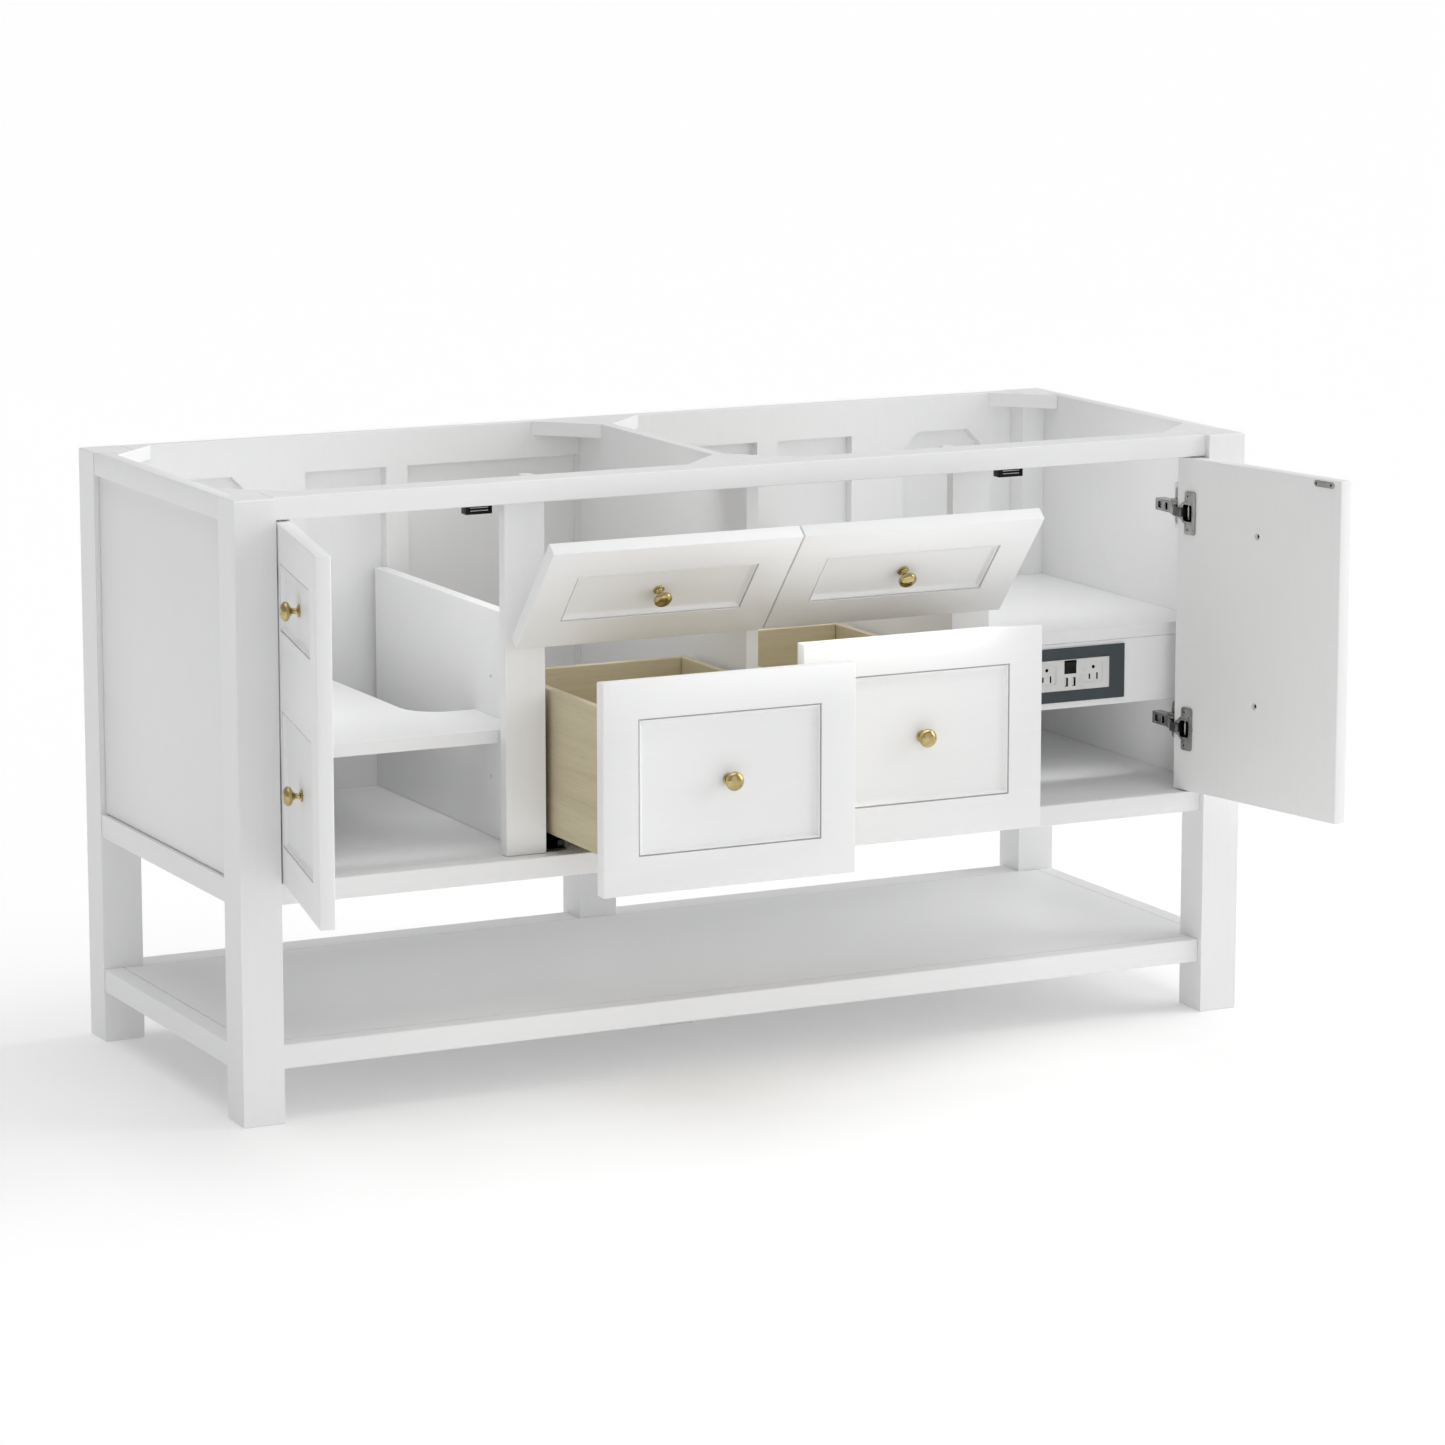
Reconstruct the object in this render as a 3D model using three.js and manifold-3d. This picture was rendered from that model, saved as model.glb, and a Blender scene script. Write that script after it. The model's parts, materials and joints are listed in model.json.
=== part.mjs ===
// Bathroom vanity cabinet for two sinks, without its top.
// Millimetres, +X to the cabinet's right as seen from the front, +Y to the back, +Z up.
// The origin is on the floor, under the middle of the cabinet.
// The doors stand open, the two tilt-out fronts are tipped and the two drawers are pulled out.
import * as THREE from 'three';
import { mergeVertices } from 'three/addons/utils/BufferGeometryUtils.js';
import ManifoldModule from 'manifold-3d';

const wasm = await ManifoldModule();
wasm.setup();
const { Manifold, Mesh: ManifoldMesh } = wasm;

// ---------------------------------------------------------------- driving dimensions
const WIDTH = 1524;
const DEPTH = 587;
const HEIGHT = 832;
const LEG = 58;
const GAP = 0.3; // clearance between neighbouring pieces
const EASE = 1; // width of the eased edge on painted pieces

const HALF = WIDTH / 2;
const LEG_IN = HALF - LEG; // inner plane of the corner legs
const RAIL_SET = 10; // rails and closed fronts sit this far behind the legs' front faces
const FRONT_T = 20; // thickness of doors, drawer fronts and tilt-out fronts
const RAIL_H = 30;
const TOP_RAIL_D = 48;
const TOP_RAIL_Z = HEIGHT - RAIL_H;
const BOTTOM_RAIL_Z = 293;
const BOTTOM_RAIL_D = 18;
const FLOOR_Z = 322; // top face of the cabinet floor
const BOARD = 18; // board thickness of floor, shelves, partition and dividers
const SIDE_T = 22; // side frame from the legs' outer faces inwards
const BACK_IN = 566; // inner plane of the back frame, from the front
const BACK_FRAME_T = 17;
const STILE_W = 58;
const STILE_IN = 310; // inner edge of a stile from the centre line
const STILE_OUT = STILE_IN + STILE_W;
const DIVIDER_X = 312; // inner face of a divider from the centre line
const DIVIDER_TOP = 637;
const SHELF_FRONT = 63;
const LEFT_SHELF_Z = 490;
const RIGHT_SHELF_Z = 559;
const LOWER_SHELF_Z = 104.5;
const LOWER_SHELF_H = 32.5;
const PIN_HOLE_R = 2.5;

const FRONT_EDGE = 367.5; // outer edge of drawer and tilt-out fronts from the centre line
const FRONT_MID_GAP = 1; // half of the gap between the two middle fronts
const DRAWER_FRONT_Z = [324.5, 606];
const TILT_FRONT_Z = [610, 800];
const DOOR_Z = [324, 800];
const DOOR_X = [-HALF + 61.8, -370.3];
const FRAME_W = 50; // width of the frame round a recessed panel
const PANEL_DEPTH = 6.5;

const BOX_X = [-301, -20]; // left drawer box
const BOX_Z = [346, 544];
const BOX_LENGTH = 450;
const BOX_WALL = 12;

const PIN = [-HALF + 77, 22]; // left door's hinge pin: x, and distance from the front
const HINGE_Z = [722, 413];
const CUP_X = -HALF + 83.5;
const CUP_R = 17.2;
const ARM_END = 115; // rear end of a hinge arm, from the front
const TILT_PIVOT = [6.5, 594.4]; // distance from the front, and height

// Rest pose, counted from the closed pose.
const LEFT_DOOR_OPEN = 102.6;
const RIGHT_DOOR_OPEN = 101;
const TILT_OPEN = 40.6;
const LEFT_DRAWER_OUT = 283.5;
const RIGHT_DRAWER_OUT = 131;
const SWITCH_TILT = 8;

/** Turns a distance behind the front legs' faces into a Y coordinate. */
const back = (distance) => distance - DEPTH / 2;

// ---------------------------------------------------------------- shape helpers
/** Extrudes an outline of [u, v] points along local Z from 0 to length, with its edges eased. */
function extrude(points, length, ease) {
  const shape = new THREE.Shape(points.map(([u, v]) => new THREE.Vector2(u, v)));
  return new THREE.ExtrudeGeometry(shape, {
    depth: length - 2 * ease,
    bevelEnabled: ease > 0,
    bevelThickness: ease,
    bevelSize: ease,
    bevelOffset: -ease,
    bevelSegments: 1,
    curveSegments: 8,
  }).translate(0, 0, ease);
}

/** A plate whose outline lies in XY, from z0 to z1. */
function plateZ(points, z0, z1, ease = EASE) {
  return extrude(points, z1 - z0, ease).translate(0, 0, z0);
}

/** A plate whose outline lies in XZ, from y0 to y1. */
function plateY(points, y0, y1, ease = EASE) {
  return extrude(points, y1 - y0, ease).rotateX(Math.PI / 2).translate(0, y1, 0);
}

/** A plate whose outline lies in YZ, from x0 to x1. */
function plateX(points, x0, x1, ease = EASE) {
  const turn = new THREE.Matrix4().set(0, 0, 1, x0, 1, 0, 0, 0, 0, 1, 0, 0, 0, 0, 0, 1);
  return extrude(points, x1 - x0, ease).applyMatrix4(turn);
}

/** Corners of a rectangle, anticlockwise. */
function rect(u0, u1, v0, v1) {
  return [[u0, v0], [u1, v0], [u1, v1], [u0, v1]];
}

/** A block with eased edges. */
function block(x0, x1, y0, y1, z0, z1, ease = EASE) {
  return plateZ(rect(x0, x1, y0, y1), z0, z1, ease);
}

/** A block with sharp edges, for cutting. */
function cutter(x0, x1, y0, y1, z0, z1) {
  return new THREE.BoxGeometry(x1 - x0, y1 - y0, z1 - z0)
    .translate((x0 + x1) / 2, (y0 + y1) / 2, (z0 + z1) / 2);
}

/** A tapered block: a rectangle in XZ at y0 that shrinks by inset at y1. */
function taperY(x0, x1, z0, z1, y0, y1, inset) {
  const geometry = cutter(x0, x1, y0, y1, z0, z1);
  const position = geometry.getAttribute('position');
  for (let i = 0; i < position.count; i += 1) {
    if (position.getY(i) > (y0 + y1) / 2) {
      position.setX(i, position.getX(i) > (x0 + x1) / 2 ? x1 - inset : x0 + inset);
      position.setZ(i, position.getZ(i) > (z0 + z1) / 2 ? z1 - inset : z0 + inset);
    }
  }
  return geometry;
}

/** A solid turned round local Y from [radius, height] points, first and last on the axis. */
function turned(points, segments = 24) {
  return new THREE.LatheGeometry(points.map(([r, h]) => new THREE.Vector2(r, h)), segments);
}

/** A cylinder along Z. */
function rodZ(x, y, z0, z1, radius, segments = 16) {
  return turned([[0, z0], [radius, z0], [radius, z1], [0, z1]], segments)
    .rotateX(Math.PI / 2).translate(x, y, 0);
}

/** A cylinder along Y. */
function rodY(x, z, y0, y1, radius, segments = 16) {
  return turned([[0, y0], [radius, y0], [radius, y1], [0, y1]], segments).translate(x, 0, z);
}

/** A cylinder along X. */
function rodX(y, z, x0, x1, radius, segments = 12) {
  return turned([[0, x0], [radius, x0], [radius, x1], [0, x1]], segments)
    .rotateZ(-Math.PI / 2).translate(0, y, z);
}

/** Joins a geometry's vertices and drops the triangles that have no area. */
function welded(geometry) {
  const bare = geometry.clone();
  bare.deleteAttribute('normal');
  bare.deleteAttribute('uv');
  const merged = mergeVertices(bare, 1e-4);
  const index = merged.getIndex().array;
  const kept = [];
  for (let i = 0; i < index.length; i += 3) {
    const [a, b, c] = [index[i], index[i + 1], index[i + 2]];
    if (a !== b && b !== c && c !== a) {
      kept.push(a, b, c);
    }
  }
  merged.setIndex(kept);
  return merged;
}

function toManifold(geometry) {
  const merged = welded(geometry);
  const mesh = new ManifoldMesh({
    numProp: 3,
    vertProperties: new Float32Array(merged.getAttribute('position').array),
    triVerts: new Uint32Array(merged.getIndex().array),
  });
  mesh.merge();
  return new Manifold(mesh);
}

function fromManifold(solid) {
  const mesh = solid.getMesh();
  const geometry = new THREE.BufferGeometry();
  geometry.setAttribute('position', new THREE.BufferAttribute(mesh.vertProperties, 3));
  geometry.setIndex(new THREE.BufferAttribute(mesh.triVerts, 1));
  return geometry;
}

/** Takes the cutters away from a body. */
function subtract(body, ...cutters) {
  let solid = toManifold(body);
  for (const tool of cutters) {
    solid = solid.subtract(toManifold(tool));
  }
  return fromManifold(solid);
}

/** Joins solids that overlap into one. */
function unite(first, ...others) {
  let solid = toManifold(first);
  for (const other of others) {
    solid = solid.add(toManifold(other));
  }
  return fromManifold(solid);
}

/** The same shape on the other side of the centre plane. */
function mirrored(geometry) {
  const copy = welded(geometry);
  copy.scale(-1, 1, 1);
  const index = copy.getIndex().array;
  for (let i = 0; i < index.length; i += 3) {
    [index[i], index[i + 1]] = [index[i + 1], index[i]];
  }
  return copy;
}

/** Turns a geometry about a vertical line. */
function swing(geometry, x, y, degrees) {
  return geometry.translate(-x, -y, 0).rotateZ(THREE.MathUtils.degToRad(degrees)).translate(x, y, 0);
}

/** Tips a geometry about a line along X. */
function tip(geometry, y, z, degrees) {
  return geometry.translate(0, -y, -z).rotateX(THREE.MathUtils.degToRad(degrees)).translate(0, y, z);
}

// ---------------------------------------------------------------- finishes
const white = { color: 0xeae9e6, roughness: 0.42, metalness: 0 };
const finishes = {
  white_paint: white,
  birch_ply: { color: 0xe2cfa6, roughness: 0.6, metalness: 0 },
  brass: { color: 0xb8945a, roughness: 0.35, metalness: 1 },
  nickel: { color: 0xb9b9b7, roughness: 0.3, metalness: 1 },
  slate_plastic: { color: 0x3f494e, roughness: 0.4, metalness: 0.1 },
  outlet_plastic: { color: 0xf0f0ee, roughness: 0.35, metalness: 0 },
  black_plastic: { color: 0x161616, roughness: 0.4, metalness: 0 },
};

const group = new THREE.Group();
group.name = 'bathroom_vanity_cabinet';

/** Adds one named piece to the cabinet. */
function add(name, geometry, finish) {
  const clean = welded(geometry).toNonIndexed();
  clean.computeVertexNormals();
  const mesh = new THREE.Mesh(clean, new THREE.MeshStandardMaterial(finishes[finish]));
  mesh.name = name;
  mesh.material.name = finish;
  group.add(mesh);
}

/** Adds a piece on the left and its mirror image on the right. */
function addPair(stem, geometry, finish) {
  add(`${stem}_left`, geometry, finish);
  add(`${stem}_right`, mirrored(geometry), finish);
}

// ---------------------------------------------------------------- legs
const frontLeg = block(-HALF, -LEG_IN, back(0), back(LEG), 0, HEIGHT, 1.5);
const rearLeg = block(-HALF, -LEG_IN, back(DEPTH - LEG), back(DEPTH), 0, HEIGHT, 1.5);
addPair('leg_front', frontLeg, 'white_paint');
addPair('leg_rear', rearLeg, 'white_paint');
add('leg_rear_centre', block(
  -LEG / 2, LEG / 2, back(DEPTH - LEG), back(DEPTH), 0, BOTTOM_RAIL_Z - 1 - GAP, 1.5,
), 'white_paint');
add('foot_centre', block(-24, 24, -29, 29, 0, LOWER_SHELF_Z - 18 - GAP, 1), 'white_paint');

// ---------------------------------------------------------------- side frames
/** Left side: top and bottom rail with a recessed panel, and the blocks that carry the hinges. */
function sideFrame() {
  const y0 = back(LEG + GAP);
  const y1 = back(DEPTH - LEG - GAP);
  const outer = -HALF + 1;
  const inner = -HALF + SIDE_T;
  let body = block(outer, inner, y0, y1, BOTTOM_RAIL_Z, HEIGHT);
  const recess = taperY(y0 + 1, y1 - 1, 325, 801, outer - 0.5, outer + 6, 4);
  const turn = new THREE.Matrix4().set(0, 1, 0, 0, 1, 0, 0, 0, 0, 0, 1, 0, 0, 0, 0, 1);
  recess.applyMatrix4(turn);
  const index = recess.getIndex().array;
  for (let i = 0; i < index.length; i += 3) {
    [index[i], index[i + 1]] = [index[i + 1], index[i]];
  }
  body = subtract(body, recess);
  for (const z of HINGE_Z) {
    body = unite(body, block(inner - 1, -LEG_IN, y0, back(92), z - 33, z + 33));
  }
  return body;
}
addPair('side_frame', sideFrame(), 'white_paint');

// ---------------------------------------------------------------- rails, floor and back
const railEnd = LEG_IN - GAP;
add('front_rail_top', block(
  -railEnd, railEnd, back(RAIL_SET), back(RAIL_SET + TOP_RAIL_D), TOP_RAIL_Z, HEIGHT,
), 'white_paint');
add('front_rail_bottom', block(
  -railEnd, railEnd, back(RAIL_SET), back(RAIL_SET + BOTTOM_RAIL_D), BOTTOM_RAIL_Z, FLOOR_Z,
), 'white_paint');

/** A board that fills the cabinet between the sides, with its corners cut round the legs. */
function floorBoard() {
  const side = HALF - SIDE_T - GAP;
  const inLeg = LEG_IN - GAP;
  const front = back(RAIL_SET + BOTTOM_RAIL_D + GAP);
  const legFront = back(LEG + GAP);
  const legRear = back(DEPTH - LEG - GAP);
  const rear = back(BACK_IN - GAP);
  return plateZ([
    [-inLeg, front], [inLeg, front], [inLeg, legFront], [side, legFront],
    [side, legRear], [inLeg, legRear], [inLeg, rear], [-inLeg, rear],
    [-inLeg, legRear], [-side, legRear], [-side, legFront], [-inLeg, legFront],
  ], FLOOR_Z - BOARD, FLOOR_Z, 0.5);
}
add('cabinet_floor', floorBoard(), 'white_paint');

/** Back frame with three openings behind each sink; the outer ones have cut corners. */
function backFrame() {
  const low = 374;
  const high = 780;
  const cut = 24;
  const holes = [];
  for (const side of [-1, 1]) {
    const outer = [653, 521].map((x) => x * side).sort((a, b) => a - b);
    holes.push([
      [outer[0], low], [outer[1], low], [outer[1], high - cut], [outer[1] - cut, high],
      [outer[0] + cut, high], [outer[0], high - cut],
    ]);
    for (const [a, b] of [[434.5, 311], [278, 10]]) {
      holes.push(rect(Math.min(a * side, b * side), Math.max(a * side, b * side), low, high));
    }
  }
  const y0 = back(BACK_IN);
  const y1 = back(BACK_IN + BACK_FRAME_T);
  return subtract(
    block(-railEnd, railEnd, y0, y1, BOTTOM_RAIL_Z - 1, HEIGHT, 0.5),
    ...holes.map((hole) => plateY(hole, y0 - 1, y1 + 1, 0)),
  );
}
add('back_frame', backFrame(), 'white_paint');
add('back_panel', block(
  -railEnd, railEnd, back(BACK_IN + BACK_FRAME_T + GAP), back(DEPTH), 310, HEIGHT - 6, 0.3,
), 'white_paint');

// ---------------------------------------------------------------- partition, dividers, stiles
const innerFront = back(RAIL_SET + FRONT_T + 0.5);
const underRail = TOP_RAIL_Z - GAP;
const boardFoot = FLOOR_Z + GAP;
const boardRear = back(BACK_IN - GAP);
add('centre_partition', plateX([
  [innerFront, boardFoot], [boardRear, boardFoot], [boardRear, HEIGHT],
  [back(RAIL_SET + TOP_RAIL_D + GAP), HEIGHT], [back(RAIL_SET + TOP_RAIL_D + GAP), underRail],
  [innerFront, underRail],
], -BOARD / 2, BOARD / 2, 0.5), 'white_paint');

/** Left divider between the door bay and the drawers, with two shelf-pin holes. */
function divider() {
  const board = block(
    -DIVIDER_X - BOARD, -DIVIDER_X, innerFront + BOARD + GAP, boardRear, boardFoot, DIVIDER_TOP, 0.5,
  );
  const holes = [544, 406].map((z) => rodX(
    back(165), z, -DIVIDER_X - BOARD - 1, -DIVIDER_X - BOARD + 9, PIN_HOLE_R,
  ));
  return subtract(board, ...holes);
}
addPair('divider', divider(), 'white_paint');
addPair('stile', block(
  -STILE_OUT, -STILE_IN, innerFront, innerFront + BOARD, boardFoot, underRail,
), 'white_paint');

// ---------------------------------------------------------------- corner braces
const BRACE = 75;
const braceFront = back(RAIL_SET + TOP_RAIL_D + GAP);
const sideIn = HALF - SIDE_T - GAP;
const midIn = BOARD / 2 + GAP;

/** A triangular brace, flush with the cabinet's top edge. */
function brace(points) {
  return plateZ(points, HEIGHT - 20, HEIGHT, 0.5);
}
addPair('brace_front_outer', brace([
  [-sideIn, braceFront], [-sideIn + BRACE, braceFront], [-sideIn, braceFront + BRACE],
]), 'white_paint');
addPair('brace_front_inner', brace([
  [-midIn - BRACE, braceFront], [-midIn, braceFront], [-midIn, braceFront + BRACE],
]), 'white_paint');
addPair('brace_rear_outer', brace([
  [-sideIn, boardRear - BRACE], [-sideIn + BRACE, boardRear], [-LEG_IN + GAP, boardRear],
  [-LEG_IN + GAP, back(DEPTH - LEG - GAP)], [-sideIn, back(DEPTH - LEG - GAP)],
]), 'white_paint');
addPair('brace_rear_inner', brace([
  [-midIn, boardRear - BRACE], [-midIn, boardRear], [-midIn - BRACE, boardRear],
]), 'white_paint');

// ---------------------------------------------------------------- lower shelf
/** Open shelf near the floor: a framed board, hollow underneath, cut round the five legs. */
function lowerShelf() {
  const side = HALF - 1;
  const inLeg = LEG_IN - GAP;
  const front = back(RAIL_SET);
  const legFront = back(LEG + GAP);
  const legRear = back(DEPTH - LEG - GAP);
  const rear = back(DEPTH - RAIL_SET);
  const centre = LEG / 2 + GAP;
  const z0 = LOWER_SHELF_Z - LOWER_SHELF_H;
  const board = plateZ([
    [-inLeg, front], [inLeg, front], [inLeg, legFront], [side, legFront],
    [side, legRear], [inLeg, legRear], [inLeg, rear], [centre, rear], [centre, legRear],
    [-centre, legRear], [-centre, rear], [-inLeg, rear],
    [-inLeg, legRear], [-side, legRear], [-side, legFront], [-inLeg, legFront],
  ], z0, LOWER_SHELF_Z);
  const rim = 26;
  const hollow = plateZ([
    [-inLeg + rim, front + rim], [inLeg - rim, front + rim], [inLeg - rim, legFront + rim],
    [side - rim, legFront + rim], [side - rim, legRear - rim], [-side + rim, legRear - rim],
    [-side + rim, legFront + rim], [-inLeg + rim, legFront + rim],
  ], z0 - 1, LOWER_SHELF_Z - 18, 0);
  const deep = LOWER_SHELF_Z - 1.6;
  const grooves = [
    cutter(-side + rim, side - rim, front + rim, front + rim + 2, deep, LOWER_SHELF_Z + 1),
    cutter(-side + rim, side - rim, legRear - 2, legRear, deep, LOWER_SHELF_Z + 1),
    cutter(-side + rim, -side + rim + 2, legFront, legRear, deep, LOWER_SHELF_Z + 1),
    cutter(side - rim - 2, side - rim, legFront, legRear, deep, LOWER_SHELF_Z + 1),
  ];
  return subtract(board, hollow, ...grooves);
}
add('lower_shelf', lowerShelf(), 'white_paint');

// ---------------------------------------------------------------- bay shelves
/** Left bay's shelf, with its inner rear corner cut away in a curve for the drain. */
function leftShelf() {
  const left = -HALF + SIDE_T + GAP;
  const right = -DIVIDER_X - BOARD - GAP;
  const front = back(SHELF_FRONT);
  const rear = back(BACK_IN - GAP);
  const legRear = back(DEPTH - LEG - GAP);
  const notchX = right - 88;
  const notchY = back(217);
  const round = 54;
  const arc = [];
  for (let i = 0; i <= 8; i += 1) {
    const angle = (Math.PI / 2) * (i / 8);
    arc.push([
      notchX + round - round * Math.sin(angle), notchY + round - round * Math.cos(angle),
    ]);
  }
  return plateZ([
    [left, front], [right, front], [right, notchY], ...arc, [notchX, rear],
    [-LEG_IN + GAP, rear], [-LEG_IN + GAP, legRear], [left, legRear],
  ], LEFT_SHELF_Z - BOARD, LEFT_SHELF_Z, 0.6);
}
add('shelf_left', leftShelf(), 'white_paint');

const bayLeft = DIVIDER_X + BOARD + GAP;
const bayRight = HALF - SIDE_T - GAP;
add('shelf_right', plateZ([
  [bayLeft, back(SHELF_FRONT)], [bayRight, back(SHELF_FRONT)],
  [bayRight, back(DEPTH - LEG - GAP)], [LEG_IN - GAP, back(DEPTH - LEG - GAP)],
  [LEG_IN - GAP, boardRear], [bayLeft, boardRear],
], RIGHT_SHELF_Z - BOARD, RIGHT_SHELF_Z, 0.6), 'white_paint');

// ---------------------------------------------------------------- power unit
const POWER_X = (DIVIDER_X + BOARD + LEG_IN) / 2; // middle of the outlet strip
const STRIP_W = 127;
const STRIP_Z = [473.6, 517.8];
const STRIP_FACE = 59;
const BEZEL_W = 178;
const BEZEL_Z = [457, 534.4];
const ROCKER_W = 18.4;
const ROCKER_Z = [498, 516];

/** Case under the right shelf: front, bottom, ends and rear wall, open to the shelf above it. */
function powerBox() {
  const z0 = 447.5;
  const z1 = RIGHT_SHELF_Z - BOARD - GAP;
  const y0 = back(SHELF_FRONT);
  const y1 = back(SHELF_FRONT + 150);
  const wall = 12;
  const stripW = STRIP_W / 2 + GAP;
  return subtract(
    block(bayLeft, bayRight, y0, y1, z0, z1),
    cutter(bayLeft + wall, bayRight - wall, y0 + wall, y1 - wall, z0 + wall, z1 + 1),
    cutter(
      POWER_X - stripW, POWER_X + stripW, y0 - 1, y0 + wall + 1, STRIP_Z[0] - GAP, STRIP_Z[1] + GAP,
    ),
  );
}
add('power_box', powerBox(), 'white_paint');

add('power_bezel', subtract(
  block(
    POWER_X - BEZEL_W / 2, POWER_X + BEZEL_W / 2, back(STRIP_FACE + 1), back(SHELF_FRONT - GAP),
    BEZEL_Z[0], BEZEL_Z[1], 0.6,
  ),
  cutter(
    POWER_X - STRIP_W / 2 - GAP, POWER_X + STRIP_W / 2 + GAP, back(STRIP_FACE), back(SHELF_FRONT),
    STRIP_Z[0] - GAP, STRIP_Z[1] + GAP,
  ),
), 'slate_plastic');

/** Outlet strip: two outlets, two charging ports with their tongues, and the rocker's pocket. */
function outletStrip() {
  const face = back(STRIP_FACE);
  const outlets = [-37.8, 37.8].flatMap((dx) => {
    const x = POWER_X + dx;
    return [
      taperY(x - 14.8, x + 14.8, 483.3, 510.4, face - 0.1, face + 0.9, 0.6),
      rodY(x, 504.5, face - 1, face + 8, 2.4, 12),
      cutter(x - 7.3, x - 5.1, face - 1, face + 8, 487.5, 495),
      cutter(x + 5.1, x + 7.3, face - 1, face + 8, 486.5, 496),
    ];
  });
  const ports = [-6.1, 6.1].map((dx) => subtract(
    cutter(POWER_X + dx - 2.3, POWER_X + dx + 2.3, face - 1, face + 9, 479.6, 491.8),
    cutter(POWER_X + dx - 1.3, POWER_X + dx + 0.6, face + 1, face + 10, 480.6, 490.8),
  ));
  const pocket = cutter(
    POWER_X - ROCKER_W / 2 - 0.4, POWER_X + ROCKER_W / 2 + 0.4, face - 1, face + 10,
    ROCKER_Z[0] - 0.6, ROCKER_Z[1] + 0.6,
  );
  const body = block(
    POWER_X - STRIP_W / 2, POWER_X + STRIP_W / 2, face, face + 14, STRIP_Z[0], STRIP_Z[1], 0.6,
  );
  return subtract(body, ...outlets, ...ports, pocket);
}
add('outlet_strip', outletStrip(), 'outlet_plastic');

/** Rocker that tips about an axle across its middle, inside the strip's pocket. */
function rocker() {
  const face = back(STRIP_FACE);
  const mid = (ROCKER_Z[0] + ROCKER_Z[1]) / 2;
  const half = (ROCKER_Z[1] - ROCKER_Z[0]) / 2 - 0.4;
  const shape = plateX([
    [face - 1.2, mid - half], [face + 5.5, mid - half + 1.5], [face + 7, mid],
    [face + 5.5, mid + half - 1.5], [face - 1.2, mid + half], [face + 0.2, mid],
  ].reverse(), POWER_X - ROCKER_W / 2, POWER_X + ROCKER_W / 2, 0.3);
  return tip(shape, face + 3.5, mid, SWITCH_TILT);
}
add('rocker_switch', rocker(), 'black_plastic');

// ---------------------------------------------------------------- fronts
/** Cuts a recessed panel with a stepped bead into a front whose face looks to -Y. */
function recessedPanel(x0, x1, z0, z1) {
  const face = back(RAIL_SET);
  return [
    cutter(x0, x1, face - 1, face + 2, z0, z1),
    taperY(x0 + 3.5, x1 - 3.5, z0 + 3.5, z1 - 3.5, face + 1.9, face + PANEL_DEPTH, 4),
  ];
}

/** A framed front with one or more recessed panels. */
function framedFront(x0, x1, z0, z1, panels) {
  const body = plateY(rect(x0, x1, z0, z1), back(RAIL_SET), back(RAIL_SET + FRONT_T), 1.5);
  return subtract(body, ...panels.flatMap((panel) => recessedPanel(...panel)));
}

const panelSplit = [
  [DRAWER_FRONT_Z[0] + FRAME_W, DRAWER_FRONT_Z[1] - FRAME_W],
  [TILT_FRONT_Z[0] + FRAME_W, TILT_FRONT_Z[1] - FRAME_W],
];
const KNOB_Z = panelSplit.map(([z0, z1]) => (z0 + z1) / 2);

/** Mushroom knob with a small rose, on a front's recessed panel at y, pointing to -Y. */
function knob(x, z) {
  const profile = [
    [0, 0], [7.7, 0], [8.1, 0.7], [7.7, 1.8], [4.2, 2.9], [3.5, 7.2], [4.2, 10.4], [7.2, 12.2],
    [11.6, 14.6], [12.8, 17.4], [12.2, 20], [9, 22.8], [4.5, 24.6], [0, 25],
  ];
  return turned(profile, 24).rotateX(Math.PI)
    .translate(x, back(RAIL_SET + PANEL_DEPTH - GAP), z);
}

/** Left door, closed: two recessed panels outside, two bored hinge cups inside. */
function door() {
  const [x0, x1] = DOOR_X;
  const panels = panelSplit.map(([z0, z1]) => [x0 + FRAME_W, x1 - FRAME_W, z0, z1]);
  const inner = back(RAIL_SET + FRONT_T);
  const bores = HINGE_Z.map((z) => rodY(CUP_X, z, inner - 12, inner + 1, CUP_R + GAP, 32));
  return subtract(framedFront(x0, x1, DOOR_Z[0], DOOR_Z[1], panels), ...bores);
}

const doorKnobX = (DOOR_X[0] + DOOR_X[1]) / 2;

/** Hinge cup with its screw wings and the pin across it, closed. */
function hingeCup(z) {
  const inner = back(RAIL_SET + FRONT_T);
  const wings = plateY([
    [CUP_X - 6, z - 31], [CUP_X + 13, z - 31], [CUP_X + 15.5, z - 28], [CUP_X + 17.2, z - 16],
    [CUP_X + 17.2, z + 16], [CUP_X + 15.5, z + 28], [CUP_X + 13, z + 31], [CUP_X - 6, z + 31],
    [CUP_X - 9, z + 28], [CUP_X - 9, z + 20], [CUP_X - 17.2, z + 10], [CUP_X - 17.2, z - 10],
    [CUP_X - 9, z - 20], [CUP_X - 9, z - 28],
  ], inner + GAP, inner + GAP + 1.5, 0.4);
  const shell = rodY(CUP_X, z, inner - 11.7, inner + GAP + 1.2, CUP_R, 32);
  const hollow = rodY(CUP_X, z, inner - 11, inner + 5, CUP_R - 1.4, 32);
  const cup = subtract(unite(wings, shell), hollow);
  return unite(cup, rodZ(PIN[0], back(PIN[1]), z - 15, z + 15, 1.3, 12));
}

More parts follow.
